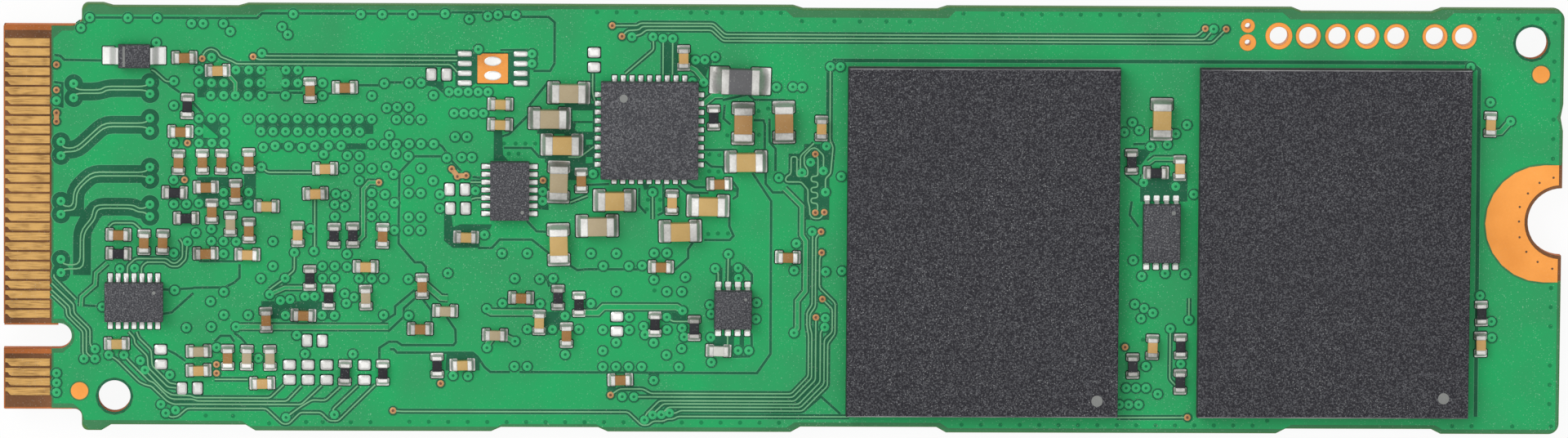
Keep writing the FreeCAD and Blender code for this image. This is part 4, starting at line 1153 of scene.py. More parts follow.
# Bared copper between vias
BARE_STRIPS: list[Path] = traced("""
-17.07,2.56 -16.78,2.2 -16.33,2.22; -37.3,5.38 -37.3,4.93""")


# The bare card

TOOLING_HOLES: Path = [(-34.33, -9.24), (38.33, 9.24)]


@dataclass
class CopperPour:
    """The copper area under the mask, which shows as brighter green."""

    edge: float = 10.77
    left: float = -37.45
    right: float = 39.82
    land_centre: tuple[float, float] = (39.09, -0.09)
    land_clear: float = 3.11
    tooling_clear: float = 0.96
    fiducial_clear: float = 0.52
    header_clear: float = 0.69
    header_sizes: tuple[float, float] = (0.6, 0.68)
    play: float = 0.01
    slot_centre: tuple[float, float] = (-37.17, -6.125)
    slot_clear: float = 0.8
    foot: float = -3.0
    top: float = 5.0

    def outline(self) -> np.ndarray:
        """The area's edge, set back further along the card's steps.

        Returns:
            Its points, anticlockwise.
        """
        edge = self.edge
        low = [(-36.45, -9.62), (-36.05, -9.95), (-35.85, -10.48), (-27.8, -10.5),
               (-27.4, -edge), (-14.7, -edge), (-14.4, -10.62), (-9.6, -10.62), (-9.3, -edge),
               (0.2, -edge), (0.6, -10.5), (8.1, -10.5), (8.5, -edge), (25.8, -edge),
               (26.2, -10.55), (33.6, -10.55), (34.0, -edge), (self.right, -edge)]
        x, y = self.land_centre
        reach = math.asin((self.right - x) / self.land_clear)
        angle = np.linspace(-math.pi / 2 + reach, -math.pi * 1.5 - reach, 40)
        arc = [(x + self.land_clear * math.cos(a), y + self.land_clear * math.sin(a))
               for a in angle]
        high = [(self.right, 5.05), (self.right - 0.16, 5.4), (self.right, 5.75),
                (self.right, edge), (34.3, edge), (33.9, 10.42), (25.9, 10.42), (25.5, edge),
                (8.7, edge), (8.35, 10.42), (0.4, 10.42), (0.0, edge), (-12.1, 10.8),
                (-12.3, 10.72), (-26.6, 10.72), (-27.1, 10.44), (-35.5, 10.44),
                (-36.15, 9.85), (-36.45, 9.6), (-37.0, 9.6)]
        left = [(self.left, 9.2), (self.left, -5.25), (-36.95, -5.25)]
        x, y = self.slot_centre
        angle = np.linspace(math.pi * 0.36, -math.pi * 0.36, 12)
        slot = [(x + self.slot_clear * math.cos(a), y + self.slot_clear * math.sin(a))
                for a in angle]
        foot = [(-36.95, -7.0), (self.left, -7.0), (self.left, -9.62)]
        return np.array(low + arc + high + left + slot + foot)

    def holes(self, cad: Cad, side: Side) -> list[np.ndarray]:
        """Openings round the plain holes, the plated ones and the front's round marks.

        Args:
            cad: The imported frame.
            side: The area's side.

        Returns:
            A ring of points per opening.
        """
        rings = [circle(x, y, self.tooling_clear, 48) for x, y in TOOLING_HOLES]
        for x, y, radius, _, _ in cad.rounds("plated_barrels"):
            header = self.header_sizes[0] < radius < self.header_sizes[1]
            clear = self.header_clear if header else radius + self.play
            rings.append(circle(x, y, clear, 32))
        marks = cad.rounds("fiducial_marks") if side is Side.FRONT else []
        return rings + [circle(x, y, self.fiducial_clear, 32) for x, y, *_ in marks]

    def build(self, bench: Bench) -> None:
        """Both sides' areas, a few microns proud of the mask.

        Args:
            bench: Where the pieces go.
        """
        for side in Side:
            seat = bench.cad.seat(side)
            low, high = sorted(side.value * (seat + proud * MM)
                               for proud in (self.foot, self.top))
            sheet = sheet_with_holes(self.outline(), self.holes(bench.cad, side), low, high)
            bench.add(f"{side.name.lower()}_copper_pour", sheet, [POUR], "green_mask")


class Layer(Enum):
    """A layer of the tracks: its first level and steps in microns, and its finish."""

    # A painted highlight along each gap's edges
    RIM = (6.0, 0.5, 3)
    GAP = (22.0, 0.6, 1)
    LINE = (49.5, 0.4, 0)
    COPPER = (56.0, 0.5, 2)
    BARE = (59.5, 0.5, 4)


@dataclass
class Tracks:
    """Tracks and gaps of the front: a strip that crosses another lies a hair over it."""

    line: float = 0.085
    gap: float = 0.27
    rim: float = 0.06
    wide_gap: float = 0.18
    wide_edge: float = 0.07
    part_gap: float = 0.13
    flash_gap: float = 0.19
    pair_gap: float = 0.92
    broad_rim: float = 0.07
    flash_rim: float = 0.08
    lobe: float = 0.48
    lobe_rim: float = 0.035
    bare: float = 0.27
    bend: float = 0.13
    pair_bend: float = 0.4
    slope: float = 0.008
    spot_sides: int = 24
    seat: float = 0.0
    foot: float = 0.0
    made: list[Surface] = field(default_factory=list)
    filled: list[tuple[Layer, int, np.ndarray, np.ndarray]] = field(default_factory=list)

    def spot(self, x: float, y: float, radius: float, level: float) -> Surface:
        """A round spot with its top at a level."""
        profile = [(radius, self.foot), (radius - self.slope, level)]
        return turned(profile, self.spot_sides).moved(x, y)

    def area(self, corners: Path, level: float) -> Surface:
        """A flat area, whichever way its corners go.

        Args:
            corners: Its corners.
            level: Level of its top.

        Returns:
            The closed area.
        """
        ring = np.array(corners)
        ahead, behind = np.roll(ring, -1, 0) - ring, ring - np.roll(ring, 1, 0)
        turn = (behind[:, 0] * ahead[:, 1] - behind[:, 1] * ahead[:, 0]).sum()
        return sheet_with_holes(ring if turn > 0 else ring[::-1], [], self.foot, level)

    def lay(self, kind: Layer, shape: Path | Spot, width: float = 0.0) -> None:
        """Adds a strip, spot or area of a kind, on the lowest level that is free there.

        Args:
            kind: Which layer it belongs to.
            shape: A path, an area's corners, or a spot's x, y and radius.
            width: The strip's width; none for an area or a spot.
        """
        start, step, finish = kind.value
        places = np.array([shape[:2]] if isinstance(shape, tuple) else shape)
        reach = shape[2] if isinstance(shape, tuple) else width
        low, high = places.min(0) - reach, places.max(0) + reach
        taken = {n for k, n, near, far in self.filled
                 if k is kind and (near < high).all() and (low < far).all()}
        count = min(set(range(len(self.filled) + 1)) - taken)
        self.filled.append((kind, count, low, high))
        level = self.seat + (start + count * step) * MM
        if isinstance(shape, tuple):
            made = self.spot(*shape, level)
        elif width:
            made = ribbon(shape, width, self.foot, level, self.slope)
        else:
            made = self.area(shape, level)
        self.made.append(made.dressed(finish))

    def lay_gap(self, path: Path, gap: float, rim: float) -> None:
        """Adds a gap along a path, and a painted highlight rim beside it."""
        self.lay(Layer.RIM, path, gap + rim)
        self.lay(Layer.GAP, path, gap)

    def lay_all(self) -> None:
        """Every strip, spot and area of the front."""
        for path in THIN:
            path = rounded_path(path, self.bend)
            self.lay_gap(path, self.gap, self.rim)
            self.lay(Layer.LINE, path, self.line)
        for width, path in WIDE:
            self.lay_gap(path, width + self.wide_gap, self.rim)
            self.lay(Layer.LINE, path, width)
            self.lay(Layer.COPPER, path, width - self.wide_edge)
        for path in GAPS:
            self.lay_gap(path, self.part_gap, self.broad_rim)
        self.lay_gap(FLASH_GAP, self.flash_gap, self.flash_rim)
        for path in PAIR_GAPS:
            self.lay_gap(rounded_path(path, self.pair_bend), self.pair_gap, self.broad_rim)
        for path in PAIRS:
            self.lay(Layer.LINE, rounded_path(path, self.pair_bend), self.line)
            for x, y in (path[0], path[-1]):
                self.lay(Layer.RIM, (x, y, self.lobe + self.lobe_rim))
                self.lay(Layer.GAP, (x, y, self.lobe))
        # Gap areas; some of them are painted shadow beside the large capacitors
        for corners in DARK_FIELDS:
            self.lay(Layer.GAP, corners)
        for corners in GREEN_AREAS:
            self.lay(Layer.COPPER, corners)
        for path in BARE_STRIPS:
            self.lay(Layer.BARE, path, self.bare)

    def build(self, bench: Bench) -> None:
        """All the tracks as one piece.

        Args:
            bench: Where the piece goes.
        """
        self.seat = bench.cad.seat(Side.FRONT)
        self.foot = self.seat - MM
        self.lay_all()
        LOG.info("tracks on up to %d levels", 1 + max(n for _, n, _, _ in self.filled))
        bench.add("front_tracks", Surface.join(self.made),
                  [PALE, DARK, POUR, RIM, BRONZE], "green_mask", crease=20.0)


@dataclass
class Vias:
    """Plated holes under the mask, bare ones, and the small stitching ones."""

    sides: int = 10
    gap: float = 0.31
    pad: float = 0.23
    bore: float = 0.08
    bare_gap: float = 0.26
    bare_pad: float = 0.17
    rim: float = 0.025
    foot: float = 0.005
    lean: float = 0.02
    paired_rim: float = 0.012
    gap_level: float = 0.0454
    pad_level: float = 0.062
    step: float = 0.00006

    def ringed(self, seat: float, gap: float, pad: float, bands: tuple[int, ...]) -> Surface:
        """A pad in a ring of gap.

        Args:
            seat: Level of the green coat.
            gap: The gap's outer radius.
            pad: The pad's radius.
            bands: Finishes of rim, gap, pad's edge, pad and filled middle.

        Returns:
            The closed disc.
        """
        low, high = seat + self.gap_level, seat + self.pad_level
        via = turned([(gap + self.rim, seat - MM), (gap, low), (pad + self.foot, low),
                      (pad - self.lean, high), (self.bore, high)], self.sides)
        via.quad_finish = np.repeat(bands[:4], self.sides)
        via.tri_finish = np.repeat([bands[1], bands[4]], self.sides)
        return via

    def covered(self, seat: float) -> Surface:
        """A via under the mask."""
        return self.ringed(seat, self.gap, self.pad, (6, 1, 2, 2, 3))

    def paired(self, seat: float) -> Surface:
        """A via in the wide gap of a pair, where it has no ring of its own."""
        return self.ringed(seat, self.pad + self.paired_rim, self.pad, (1, 1, 2, 2, 3))

    def bare(self, seat: float) -> Surface:
        """A via whose copper is in the open."""
        return self.ringed(seat, self.bare_gap, self.bare_pad, (6, 1, 4, 4, 5))

    def stitch(self, seat: float) -> Surface:
        """A small filled hole in the copper area.

        Args:
            seat: Level of the green coat.

        Returns:
            The closed disc.
        """
        dot = turned([(0.115, seat - MM), (0.11, seat + 0.009), (0.075, seat + 0.011)], 8)
        dot.quad_finish = np.repeat([7, 7], 8)
        dot.tri_finish = np.repeat([1, 7], 8)
        return dot

    def build(self, bench: Bench) -> None:
        """The front's vias and stitches, and the same holes where they come out.

        Args:
            bench: Where the pieces go.
        """
        # Finish 6 paints a highlight ring round the covered and bare vias
        finishes = [PALE, DARK, MINT, PIT, BRONZE, BRONZE_PIT, RIM, STITCH]
        rows = [(x, y) for y, places in VIA_ROWS for x in places]
        ends = [path[n] for path in PAIRS for n in (0, -1)]
        covered, paired, bare, stitches = (
            np.array([(x, y, i % 61 * self.step) for i, (x, y) in enumerate(places)])
            for places in (GREEN_VIAS + rows, ends, COPPER_VIAS, STITCHES))
        seat = bench.cad.seat(Side.FRONT)
        front = [self.covered(seat).repeated(covered), self.paired(seat).repeated(paired),
                 self.bare(seat).repeated(bare), self.stitch(seat).repeated(stitches)]
        bench.add("front_vias", Surface.join(front), finishes, "green_mask")
        seat = bench.cad.seat(Side.BACK)
        mirror = np.array([1, -1, 1])
        through = np.concatenate([covered, paired, bare]) * mirror
        back = [self.covered(seat).repeated(through),
                self.stitch(seat).repeated(stitches * mirror)]
        bench.add("back_vias", Surface.join(back).turned_over(), finishes, "green_mask")


@dataclass
class EdgeContacts:
    """The gilded contacts with a corner cut away, and the bared edges of the tongue."""

    soft: float = 0.012
    overlap: float = 0.03
    bevels: tuple[tuple[float, tuple[tuple[float, float], ...]], ...] = (
        (0.28, ((-39.97, 9.76), (-36.45, 9.76))), (0.26, ((-39.97, -6.92), (-37.2, -6.92))),
        (0.09, ((-39.97, -9.86), (-36.5, -9.86))), (0.09, ((-39.97, -5.52), (-37.2, -5.52))),
        (0.07, ((-39.965, 9.85), (-39.965, -5.45))),
        (0.07, ((-39.965, -6.8), (-39.965, -9.88))))

    def contact(self, length: float, width: float, height: float) -> Surface:
        """A contact whose lower left corner is cut away, its sides leaning in.

        Args:
            length: Size along X.
            width: Size along Y.
            height: Its thickness.

        Returns:
            The closed contact, its foot at level 0.
        """
        x, y = length / 2, width / 2
        ring = np.array([(-x + 0.3, -y), (x - 0.02, -y), (x, -y + 0.02), (x, y - 0.02),
                         (x - 0.02, y), (-x + 0.02, y), (-x, y - 0.02), (-x, 0.0),
                         (-x + 0.12, -0.02), (-x + 0.21, -y + 0.06)])
        rings = []
        for inset, level in ((0.0, 0.0), (0.0, height - self.soft), (self.soft, height)):
            shrink = np.array([1 - inset / x, 1 - inset / y])
            rings.append(np.column_stack([ring * shrink, np.full(len(ring), level)]))
        return loft(np.array(rings))

    def edges(self, seat: float, sign: int) -> Surface:
        """The bared edges of one side, as strips a few microns proud of the board.

        Args:
            seat: Level of the board's face.
            sign: 1 for the front, -1 for the side that is turned over afterwards.

        Returns:
            The strips as one surface.
        """
        return Surface.join([ribbon([(x, y * sign) for x, y in path], width, seat - 0.002,
                                    seat + 0.003 + 0.0006 * n, 0.004)
                             for n, (width, path) in enumerate(self.bevels)])

    def build(self, bench: Bench) -> None:
        """One contact for each of the CAD's, and the bared edges of the tongue.

        Args:
            bench: Where the pieces go.
        """
        cad = bench.cad
        for side in Side:
            node = f"{side.name.lower()}_edge_contacts"
            boxes = cad.solids(node)
            size = boxes[0, 1] - boxes[0, 0]
            contact = self.contact(size[0], size[1] + self.overlap, size[2])
            places = boxes.mean(1)
            if side is Side.FRONT:
                places[:, 2] = boxes[:, 0, 2]
                rows = contact.repeated(places)
            else:
                places *= np.array([1, -1, 1])
                places[:, 2] = -boxes[:, 1, 2]
                rows = contact.repeated(places).turned_over()
            bench.add(node, rows, [GOLD], "gold_plating", (node,))
        made = [self.edges(cad.high("circuit_board")[2], 1),
                self.edges(-cad.low("circuit_board")[2], -1).turned_over()]
        bench.add("tongue_bevels", Surface.join(made), [EDGE], "laminate")


@dataclass
class Holes:
    """Plated holes with turned rims, and collars in the plain holes."""

    header_bore: float = 0.475
    probe_bore: float = 0.15
    tooling_bore: float = 0.82
    tooling_collar: float = 0.95
    proud: float = 0.002
    soft: float = 0.02
    sides: int = 48

    def ring(self, bore: float, outer: float, bottom: float, top: float) -> Surface:
        """A tube with softened rims: outside up, over the top and down the bore.

        Args:
            bore: Radius of the bore.
            outer: Radius of the outside.
            bottom: Level of the foot.
            top: Level of the top.

        Returns:
            The closed tube.
        """
        soft = self.soft
        return tube([(outer, bottom + soft), (outer, top - soft), (outer - soft, top),
                     (bore + soft, top), (bore, top - soft), (bore, bottom + soft),
                     (bore + soft, bottom), (outer - soft, bottom)], self.sides)

    def build(self, bench: Bench) -> None:
        """The barrels in copper and the collars in dark mask over laminate.

        Args:
            bench: Where the pieces go.
        """
        cad = bench.cad
        made = []
        for x, y, outer, low, high in cad.rounds("plated_barrels"):
            bore = self.header_bore if outer > 0.5 else self.probe_bore
            made.append(self.ring(bore, outer, low, high).moved(x, y))
        bench.add("plated_barrels", Surface.join(made), [COPPER], "bare_copper",
                  ("plated_barrels",))
        collar = self.ring(self.tooling_bore, self.tooling_collar,
                           cad.low("back_solder_mask")[2] - self.proud,
                           cad.high("front_solder_mask")[2] + self.proud)
        collar.quad_finish[self.sides * 4:self.sides * 5] = 1
        collars = [collar.moved(x, y) for x, y in TOOLING_HOLES]
        bench.add("tooling_hole_collars", Surface.join(collars), [DARK, EDGE], "green_mask")


@dataclass
class Copper:
    """Bare copper: the two lands with their filled holes, and the round marks."""

    back_land: float = -1.14
    land_dots: tuple[tuple[float, float], ...] = (
        (38.83, 2.03), (38.24, 1.48), (37.83, 0.78), (37.8, 0.03), (39.55, 2.3),
        (37.84, -0.79), (38.2, -1.54), (38.79, -2.06), (39.55, -2.41))

    def dots(self, level: float, sign: int) -> Surface:
        """The filled holes of a land.

        Args:
            level: The land's face.
            sign: 1 for the front, -1 for the side that is turned over afterwards.

        Returns:
            The dots as one surface.
        """
        dot = turned([(0.065, level - 0.003), (0.06, level + 0.002), (0.03, level + 0.002)], 12)
        return dot.repeated(np.array([(x, y * sign, 0.0) for x, y in self.land_dots]))

    def build(self, bench: Bench) -> None:
        """Dresses the lands, and builds the dots on them and the round marks.

        Args:
            bench: Where the pieces go.
        """
        cad = bench.cad
        bench.dress("front_screw_land", COPPER)
        bench.dress("back_screw_land", COPPER)
        dots = [self.dots(cad.high("front_screw_land")[2], 1),
                self.dots(self.back_land, -1).turned_over()]
        bench.add("land_vias", Surface.join(dots), [LAND_PIT], "bare_copper")
        marks = []
        for x, y, radius, low, high in cad.rounds("fiducial_marks"):
            marks.append(turned([(radius, low), (radius, high - 0.01),
                                 (radius - 0.01, high)], 40).moved(x, y))
        bench.add("fiducial_marks", Surface.join(marks), [COPPER], "bare_copper",
                  ("fiducial_marks",))


# Pads and chips

def tinned(length: float, width: float, top: float, corner: float, steps: int = 1) -> Surface:
    """The flat of a tinned pad, its foot at level 0."""
    return moulding(length, width, eased(0.008, top, 0.015, 1), corner, steps)


def gap_line(length: float, width: float, corner: float) -> Surface:
    """The dark line of gap round a pad, darkened as painted shade round the parts, its foot at
    level 0.
    """
    return moulding(length, width, [(0.0, 0.0), (0.01, OUTLINE_TOP)], corner, 1, 1)


@dataclass
class PadShop:
    """Tinned pads with a low crown of solder, and a dark line of gap round them, darkened as
    painted shade.
    """

    gap: float = 0.06
    rise: float = 0.05
    lift: float = 0.045

    def crown(self, length: float, width: float) -> Surface:
        """Solder that stands highest in the middle: rise times (1-s^4)(1-t^4).

        Args:
            length: Size along X.
            width: Size along Y.

        Returns:
            The closed pad, its foot at level 0.
        """
        s, t = np.meshgrid(np.linspace(-1, 1, 9), np.linspace(-1, 1, 9), indexing="ij")
        pinch = 1 - 0.12 * (s ** 4) * (t ** 4)
        top = 0.02 + self.rise * (1 - s ** 4) * (1 - t ** 4)
        return relief(s * length / 2 * pinch, t * width / 2 * pinch, top)

    def outlines(self, boxes: np.ndarray, seat: float) -> Surface:
        """The dark gap round each pad, darkened as painted shade.

        Args:
            boxes: Lowest and highest corner of each pad.
            seat: Level of the green coat.

        Returns:
            The lines as one surface, each a hair over the one before it.
        """
        made = []
        for n, (low, high) in enumerate(boxes):
            size = high - low + 2 * self.gap
            x, y = (low[:2] + high[:2]) / 2
            line = moulding(size[0], size[1], [(0.0, -MM), (0.01, OUTLINE_TOP)], 0.08, 2, 1)
            made.append(line.moved(x, y, seat + n % 29 * HAIR))
        return Surface.join(made)

    def build(self, bench: Bench) -> None:
        """The bare pads, and the footprint with its slug and two dabs.

        Args:
            bench: Where the pieces go.
        """
        cad = bench.cad
        seat = cad.seat(Side.FRONT)
        for node in ("bare_solder_pads", "footprint_pads"):
            boxes = cad.solids(node)
            made = [self.outlines(boxes, seat)]
            for low, high in boxes:
                x, y = (low[:2] + high[:2]) / 2
                made.append(self.crown(*(high - low)[:2]).moved(x, y, seat + self.lift))
            bench.add(node, Surface.join(made), [SOLDER, OUTLINE], "solder", (node,))
        boxes = cad.solids("footprint_slug")
        size = boxes[0, 1] - boxes[0, 0]
        x, y, _ = cad.middle("footprint_slug")
        slug = moulding(size[0], size[1], eased(0.0, size[2], 0.01), 0.04, 2)
        made = [slug.moved(x, y, seat), self.outlines(boxes, seat)]
        bench.add("footprint_slug", Surface.join(made), [SLUG, OUTLINE], "bare_copper",
                  ("footprint_slug",))
        dabs = []
        for low, high in cad.solids("footprint_solder_dabs"):
            x, y = (low[:2] + high[:2]) / 2
            dab = turned([(1.0, 0.0), (0.97, 0.55), (0.85, 0.85), (0.6, 1.0)], 28)
            dab.points = dab.points * (high - low) * np.array([0.5, 0.5, 1.0])
            dabs.append(dab.moved(x, y, low[2]))
        bench.add("footprint_solder_dabs", Surface.join(dabs), [SOLDER], "solder",
                  ("footprint_solder_dabs",))


@dataclass
class Fillet:
    """Solder that climbs the end of a chip: height times (1-s)^2.2 times (1-t^4)."""

    reach: float
    width: float
    height: float
    foot: float = 0.07

    def surface(self) -> Surface:
        """The fillet from the chip's end outwards.

        Returns:
            The closed fillet from x = 0 on, its foot at level 0.
        """
        s, t = np.meshgrid(np.linspace(0, 1, 8), np.linspace(-1, 1, 9), indexing="ij")
        top = self.foot + (self.height - self.foot) * (1 - s) ** 2.2 * (1 - t ** 4)
        return relief(s * self.reach, t * self.width / 2 * (1 - 0.06 * s ** 2), top)


@dataclass
class ChipFamily:
    """Chips of one kind: ceramic core, tinned caps, solder and pads.

    The cores' and ends' places are read from the CAD nodes. An end lies along
    the chip, so the chip's direction is the one from the core to its end.
    """

    cores: tuple[str, ...]
    ends: str
    finishes: tuple[Finish, ...]
    slots: tuple[str, ...]
    length: float
    width: float
    height: float
    band: float
    solder_length: float
    solder_width: float
    back: bool = False
    climb: float = 0.78
    shift: tuple[tuple[float, float, float, float], ...] = ()
    astray: float = 0.012
    skew: float = 1.6

    def core(self) -> Surface:
        """The ceramic, a little slimmer than the caps.

        Returns:
            The closed core with its middle at x = 0.
        """
        profile = [(0.012, 0.04), (0.0, 0.06)] + eased(0.08, self.height - 0.012, 0.03, 2)[1:]
        return moulding(self.length - 2 * self.band + 0.06, self.width - 0.03, profile, 0.02, 1)

    def cap(self) -> Surface:
        """A tinned cap with rounded edges.

        Returns:
            The closed cap with its inner face at x = 0.
        """
        profile = [(0.02, 0.03), (0.0, 0.05)] + eased(0.07, self.height, 0.05, 3)[1:]
        return moulding(self.band, self.width, profile, 0.05, 2).moved(self.band / 2)

    def end(self) -> Surface:
        """Cap, fillets, pad and the gap round the pad, darkened as painted shade.

        Returns:
            The end that points along +X, with the chip's middle at x = 0.
        """
        inner = self.length / 2 - self.band
        reach = (self.solder_length - self.length) / 2
        fillet = Fillet(reach + 0.02, self.solder_width, self.height * self.climb)
        parts = [self.cap().moved(inner), fillet.surface().moved(self.length / 2 - 0.03)]
        side = (self.solder_width - self.width) / 2
        if side > 0.02:
            flank = Fillet(side + 0.02, self.band * 0.9, self.height * 0.55).surface()
            parts += [flank.moved(inner + self.band * 0.55, sign * (self.width / 2 - 0.02),
                                  0.0, sign * 90.0) for sign in (1, -1)]
        length = self.solder_length / 2 - inner
        for part in (tinned(length, self.solder_width, PAD_TOP, 0.06, 2),
                     gap_line(length + 0.12, self.solder_width + 0.12, 0.08)):
            parts.append(part.moved(inner + length / 2))
        return Surface.join(parts)

    def placed(self, cad: Cad) -> list[tuple[np.ndarray, np.ndarray]]:
        """Places and turns of the chips of each core node.

        Args:
            cad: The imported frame.

        Returns:
            For each core node, a row of x, y, seat per chip and its turn.
        """
        ends = cad.solids(self.ends).mean(1)[:, :2]
        found = []
        for node in self.cores:
            boxes = cad.solids(node)
            centres = boxes.mean(1)[:, :2]
            apart = ends[None] - centres[:, None]
            nearest = np.argmin((apart ** 2).sum(2), axis=1)
            way = apart[np.arange(len(centres)), nearest]
            turns = np.where(np.abs(way[:, 0]) > np.abs(way[:, 1]), 0.0, 90.0)
            found.append((np.column_stack([centres, boxes[:, int(self.back), 2]]), turns))
        return found

    def build(self, bench: Bench) -> None:
        """The cores, one piece per node, and all the ends as one piece.

        Args:
            bench: Where the pieces go.
        """
        rng = np.random.default_rng(len(self.ends) * 7 + len(self.cores))
        end = Surface.join([self.end(), self.end().moved(turn=180.0)])
        made = []
        for node, slot, finish, (places, turns) in zip(self.cores, self.slots, self.finishes,
                                                       self.placed(bench.cad)):
            body = places.copy()
            for near_x, near_y, *step in self.shift:
                near = np.hypot(places[:, 0] - near_x, places[:, 1] - near_y) < 0.3
                body[near, :2] += step
            body[:, :2] += rng.uniform(-self.astray, self.astray, (len(body), 2))
            body[:, 2] += np.arange(len(body)) * HAIR
            turns = turns + rng.uniform(-self.skew, self.skew, len(body))
            if self.back:
                body = body * np.array([1, -1, -1])
            cores, solder = (part.repeated(body, turns) for part in (self.core(), end))
            if self.back:
                cores, solder = cores.turned_over(), solder.turned_over()
            bench.add(node, cores, [finish], slot, (node,))
            made.append(solder)
        bench.add(self.ends, Surface.join(made), [TIN, OUTLINE], "tinned_end", (self.ends,))


# Packages

@dataclass
class BallPackage:
    """A moulded package on a carrier, on a field of solder balls."""

    name: str
    side: Side
    pitch: float = 1.0
    ball: float = 0.21
    corner: float = 0.03
    mark: Spot | None = None
    empty_middle: float = 0.0

    def balls(self, size: np.ndarray, rise: float) -> Surface:
        """The balls: radius r times the square root of 1 - (0.85 z)^2, z from -1 to 1.

        Args:
            size: The package's size.
            rise: Height of a ball.

        Returns:
            The balls as one surface, round the package's middle.
        """
        z = np.linspace(-1, 1, 5)
        profile = list(zip((self.ball * np.sqrt(1 - (0.85 * z) ** 2)).tolist(),
                           (rise * (z + 1) / 2).tolist()))
        counts = [int((s - 1.2) // self.pitch) + 1 for s in size[:2]]
        x, y = np.meshgrid(*[(np.arange(n) - (n - 1) / 2) * self.pitch for n in counts])
        keep = (np.abs(x) > self.empty_middle) | (np.abs(y) > self.empty_middle)
        places = np.column_stack([x[keep], y[keep], np.zeros(keep.sum())])
        return turned(profile, 8).repeated(places)

    def cap(self, span: np.ndarray, foot: float, height: float) -> Surface:
        """The moulded cap, with a painted highlight along two edges.

        Args:
            span: The cap's size.
            foot: Level of its foot over the balls' foot.
            height: Its height.

        Returns:
            The closed cap.
        """
        upper = [(0.03 + inset, level) for inset, level in
                 eased(foot, foot + height, 0.05, 4)[1:]]
        shell = moulding(span[0], span[1], [(0.0, foot), (0.012, foot + height * 0.5)] + upper,
                         self.corner, 4)
        ring = 4 * (4 + 1)
        # The upper rounding of the top and bottom edges takes finish 2, a painted highlight
        shell.quad_finish[[row * ring + side for row in range(2, 6) for side in (4, 14)]] = 2
        return shell

    def build(self, bench: Bench) -> None:
        """Cap, carrier and balls, each in place of its CAD node.

        Args:
            bench: Where the pieces go.
        """
        cad = bench.cad
        names = [f"{self.name}_{part}" for part in ("cap", "carrier", "balls")]
        top, carrier, balls = (cad.span(name) for name in names)
        x, y, _ = cad.middle(names[0])
        rise = balls[2]
        foot, height = rise + carrier[2], top[2] - 0.003
        cap = self.cap(top, foot, height)
        if self.mark is not None:
            mark_x, mark_y, radius = self.mark
            level = foot + height + 0.003
            dot = turned([(radius, level - 0.02), (radius, level - 0.001),
                          (radius * 0.93, level), (radius * 0.4, level)], 28, 1)
            cap = Surface.join([cap, dot.moved(mark_x - x, mark_y - y)])
        parts = [cap, moulding(carrier[0] - 0.02, carrier[1] - 0.02,
                               [(0.0, rise + MM), (0.0, foot)], self.corner, 3),
                 self.balls(top, rise)]
        seat = cad.seat(self.side)
        finishes = ([EPOXY, MARK, RUBBED], [CARRIER], [SOLDER])
        slots = ("moulded_black", "carrier_board", "solder")
        for name, part, finish, slot in zip(names, parts, finishes, slots):
            if self.side is Side.BACK:
                part = part.moved(x, -y, seat).turned_over()
            else:
                part = part.moved(x, y, seat)
            bench.add(name, part, finish, slot, (name,))


@dataclass
class LeadlessPackage:
    """A flat package whose toes look out from under its edges."""

    name: str
    mark: Spot | None = None
    node: str = "toes"
    mark_sides: int = 20
    climb: float = 0.19

    def block(self, span: np.ndarray) -> list[Surface]:
        """The body's block, its foot at level 0."""
        profile = [(0.004, 0.03)] + eased(0.05, span[2], 0.03, 3)[1:]
        return [moulding(span[0], span[1], profile, 0.05, 3)]

    def lead(self, reach: float, width: float, height: float) -> list[Surface]:
        """A toe that starts at x = 0, with its fillet and the gap round its pad, darkened as
        painted shade.

        Args:
            reach: How far it looks out.
            width: Its width.
            height: Its height, which only a bent lead follows.

        Returns:
            Its parts, their foot at level 0.
        """
        fillet = Fillet(reach * 0.97 + 0.02, width * 0.98, self.climb).surface()
        return [fillet.moved(-0.02),
                tinned(reach + 0.04, width, PAD_TOP, 0.03).moved(reach / 2 - 0.02),
                gap_line(reach + 0.1, width + 0.1, 0.05).moved(reach / 2)]

    def build(self, bench: Bench) -> None:
        """The body, and a lead or toe on its pad for each of the CAD's.

        Args:
            bench: Where the pieces go.
        """
        cad = bench.cad
        body, leads = f"{self.name}_body", f"{self.name}_{self.node}"
        span, (x, y, _), seat = cad.span(body), cad.middle(body), cad.seat(Side.FRONT)
        parts = [part.moved(x, y, seat) for part in self.block(span)]
        if self.mark is not None:
            mark_x, mark_y, radius = self.mark
            dot = turned([(radius, span[2] - 0.02), (radius, span[2] + 0.002),
                          (radius * 0.93, span[2] + 0.003)], self.mark_sides, 1)
            parts.append(dot.moved(mark_x, mark_y, seat))
        bench.add(body, Surface.join(parts), [SMALL_EPOXY, MARK], "package_black", (body,))
        made = []
        for low, high in cad.solids(leads):
            off, size = (low[:2] + high[:2]) / 2 - (x, y), high - low
            axis = 0 if abs(off[0]) > span[0] / 2 else 1
            turn = 90.0 * axis if off[axis] > 0 else 90.0 * axis - 180.0
            off[axis] = math.copysign(span[axis] / 2, off[axis])
            lead = Surface.join(self.lead(size[axis], size[1 - axis], size[2]))
            made.append(lead.moved(x + off[0], y + off[1], seat, turn))
        bench.add(leads, Surface.join(made), [LEAD, OUTLINE], "tinned_lead", (leads,))


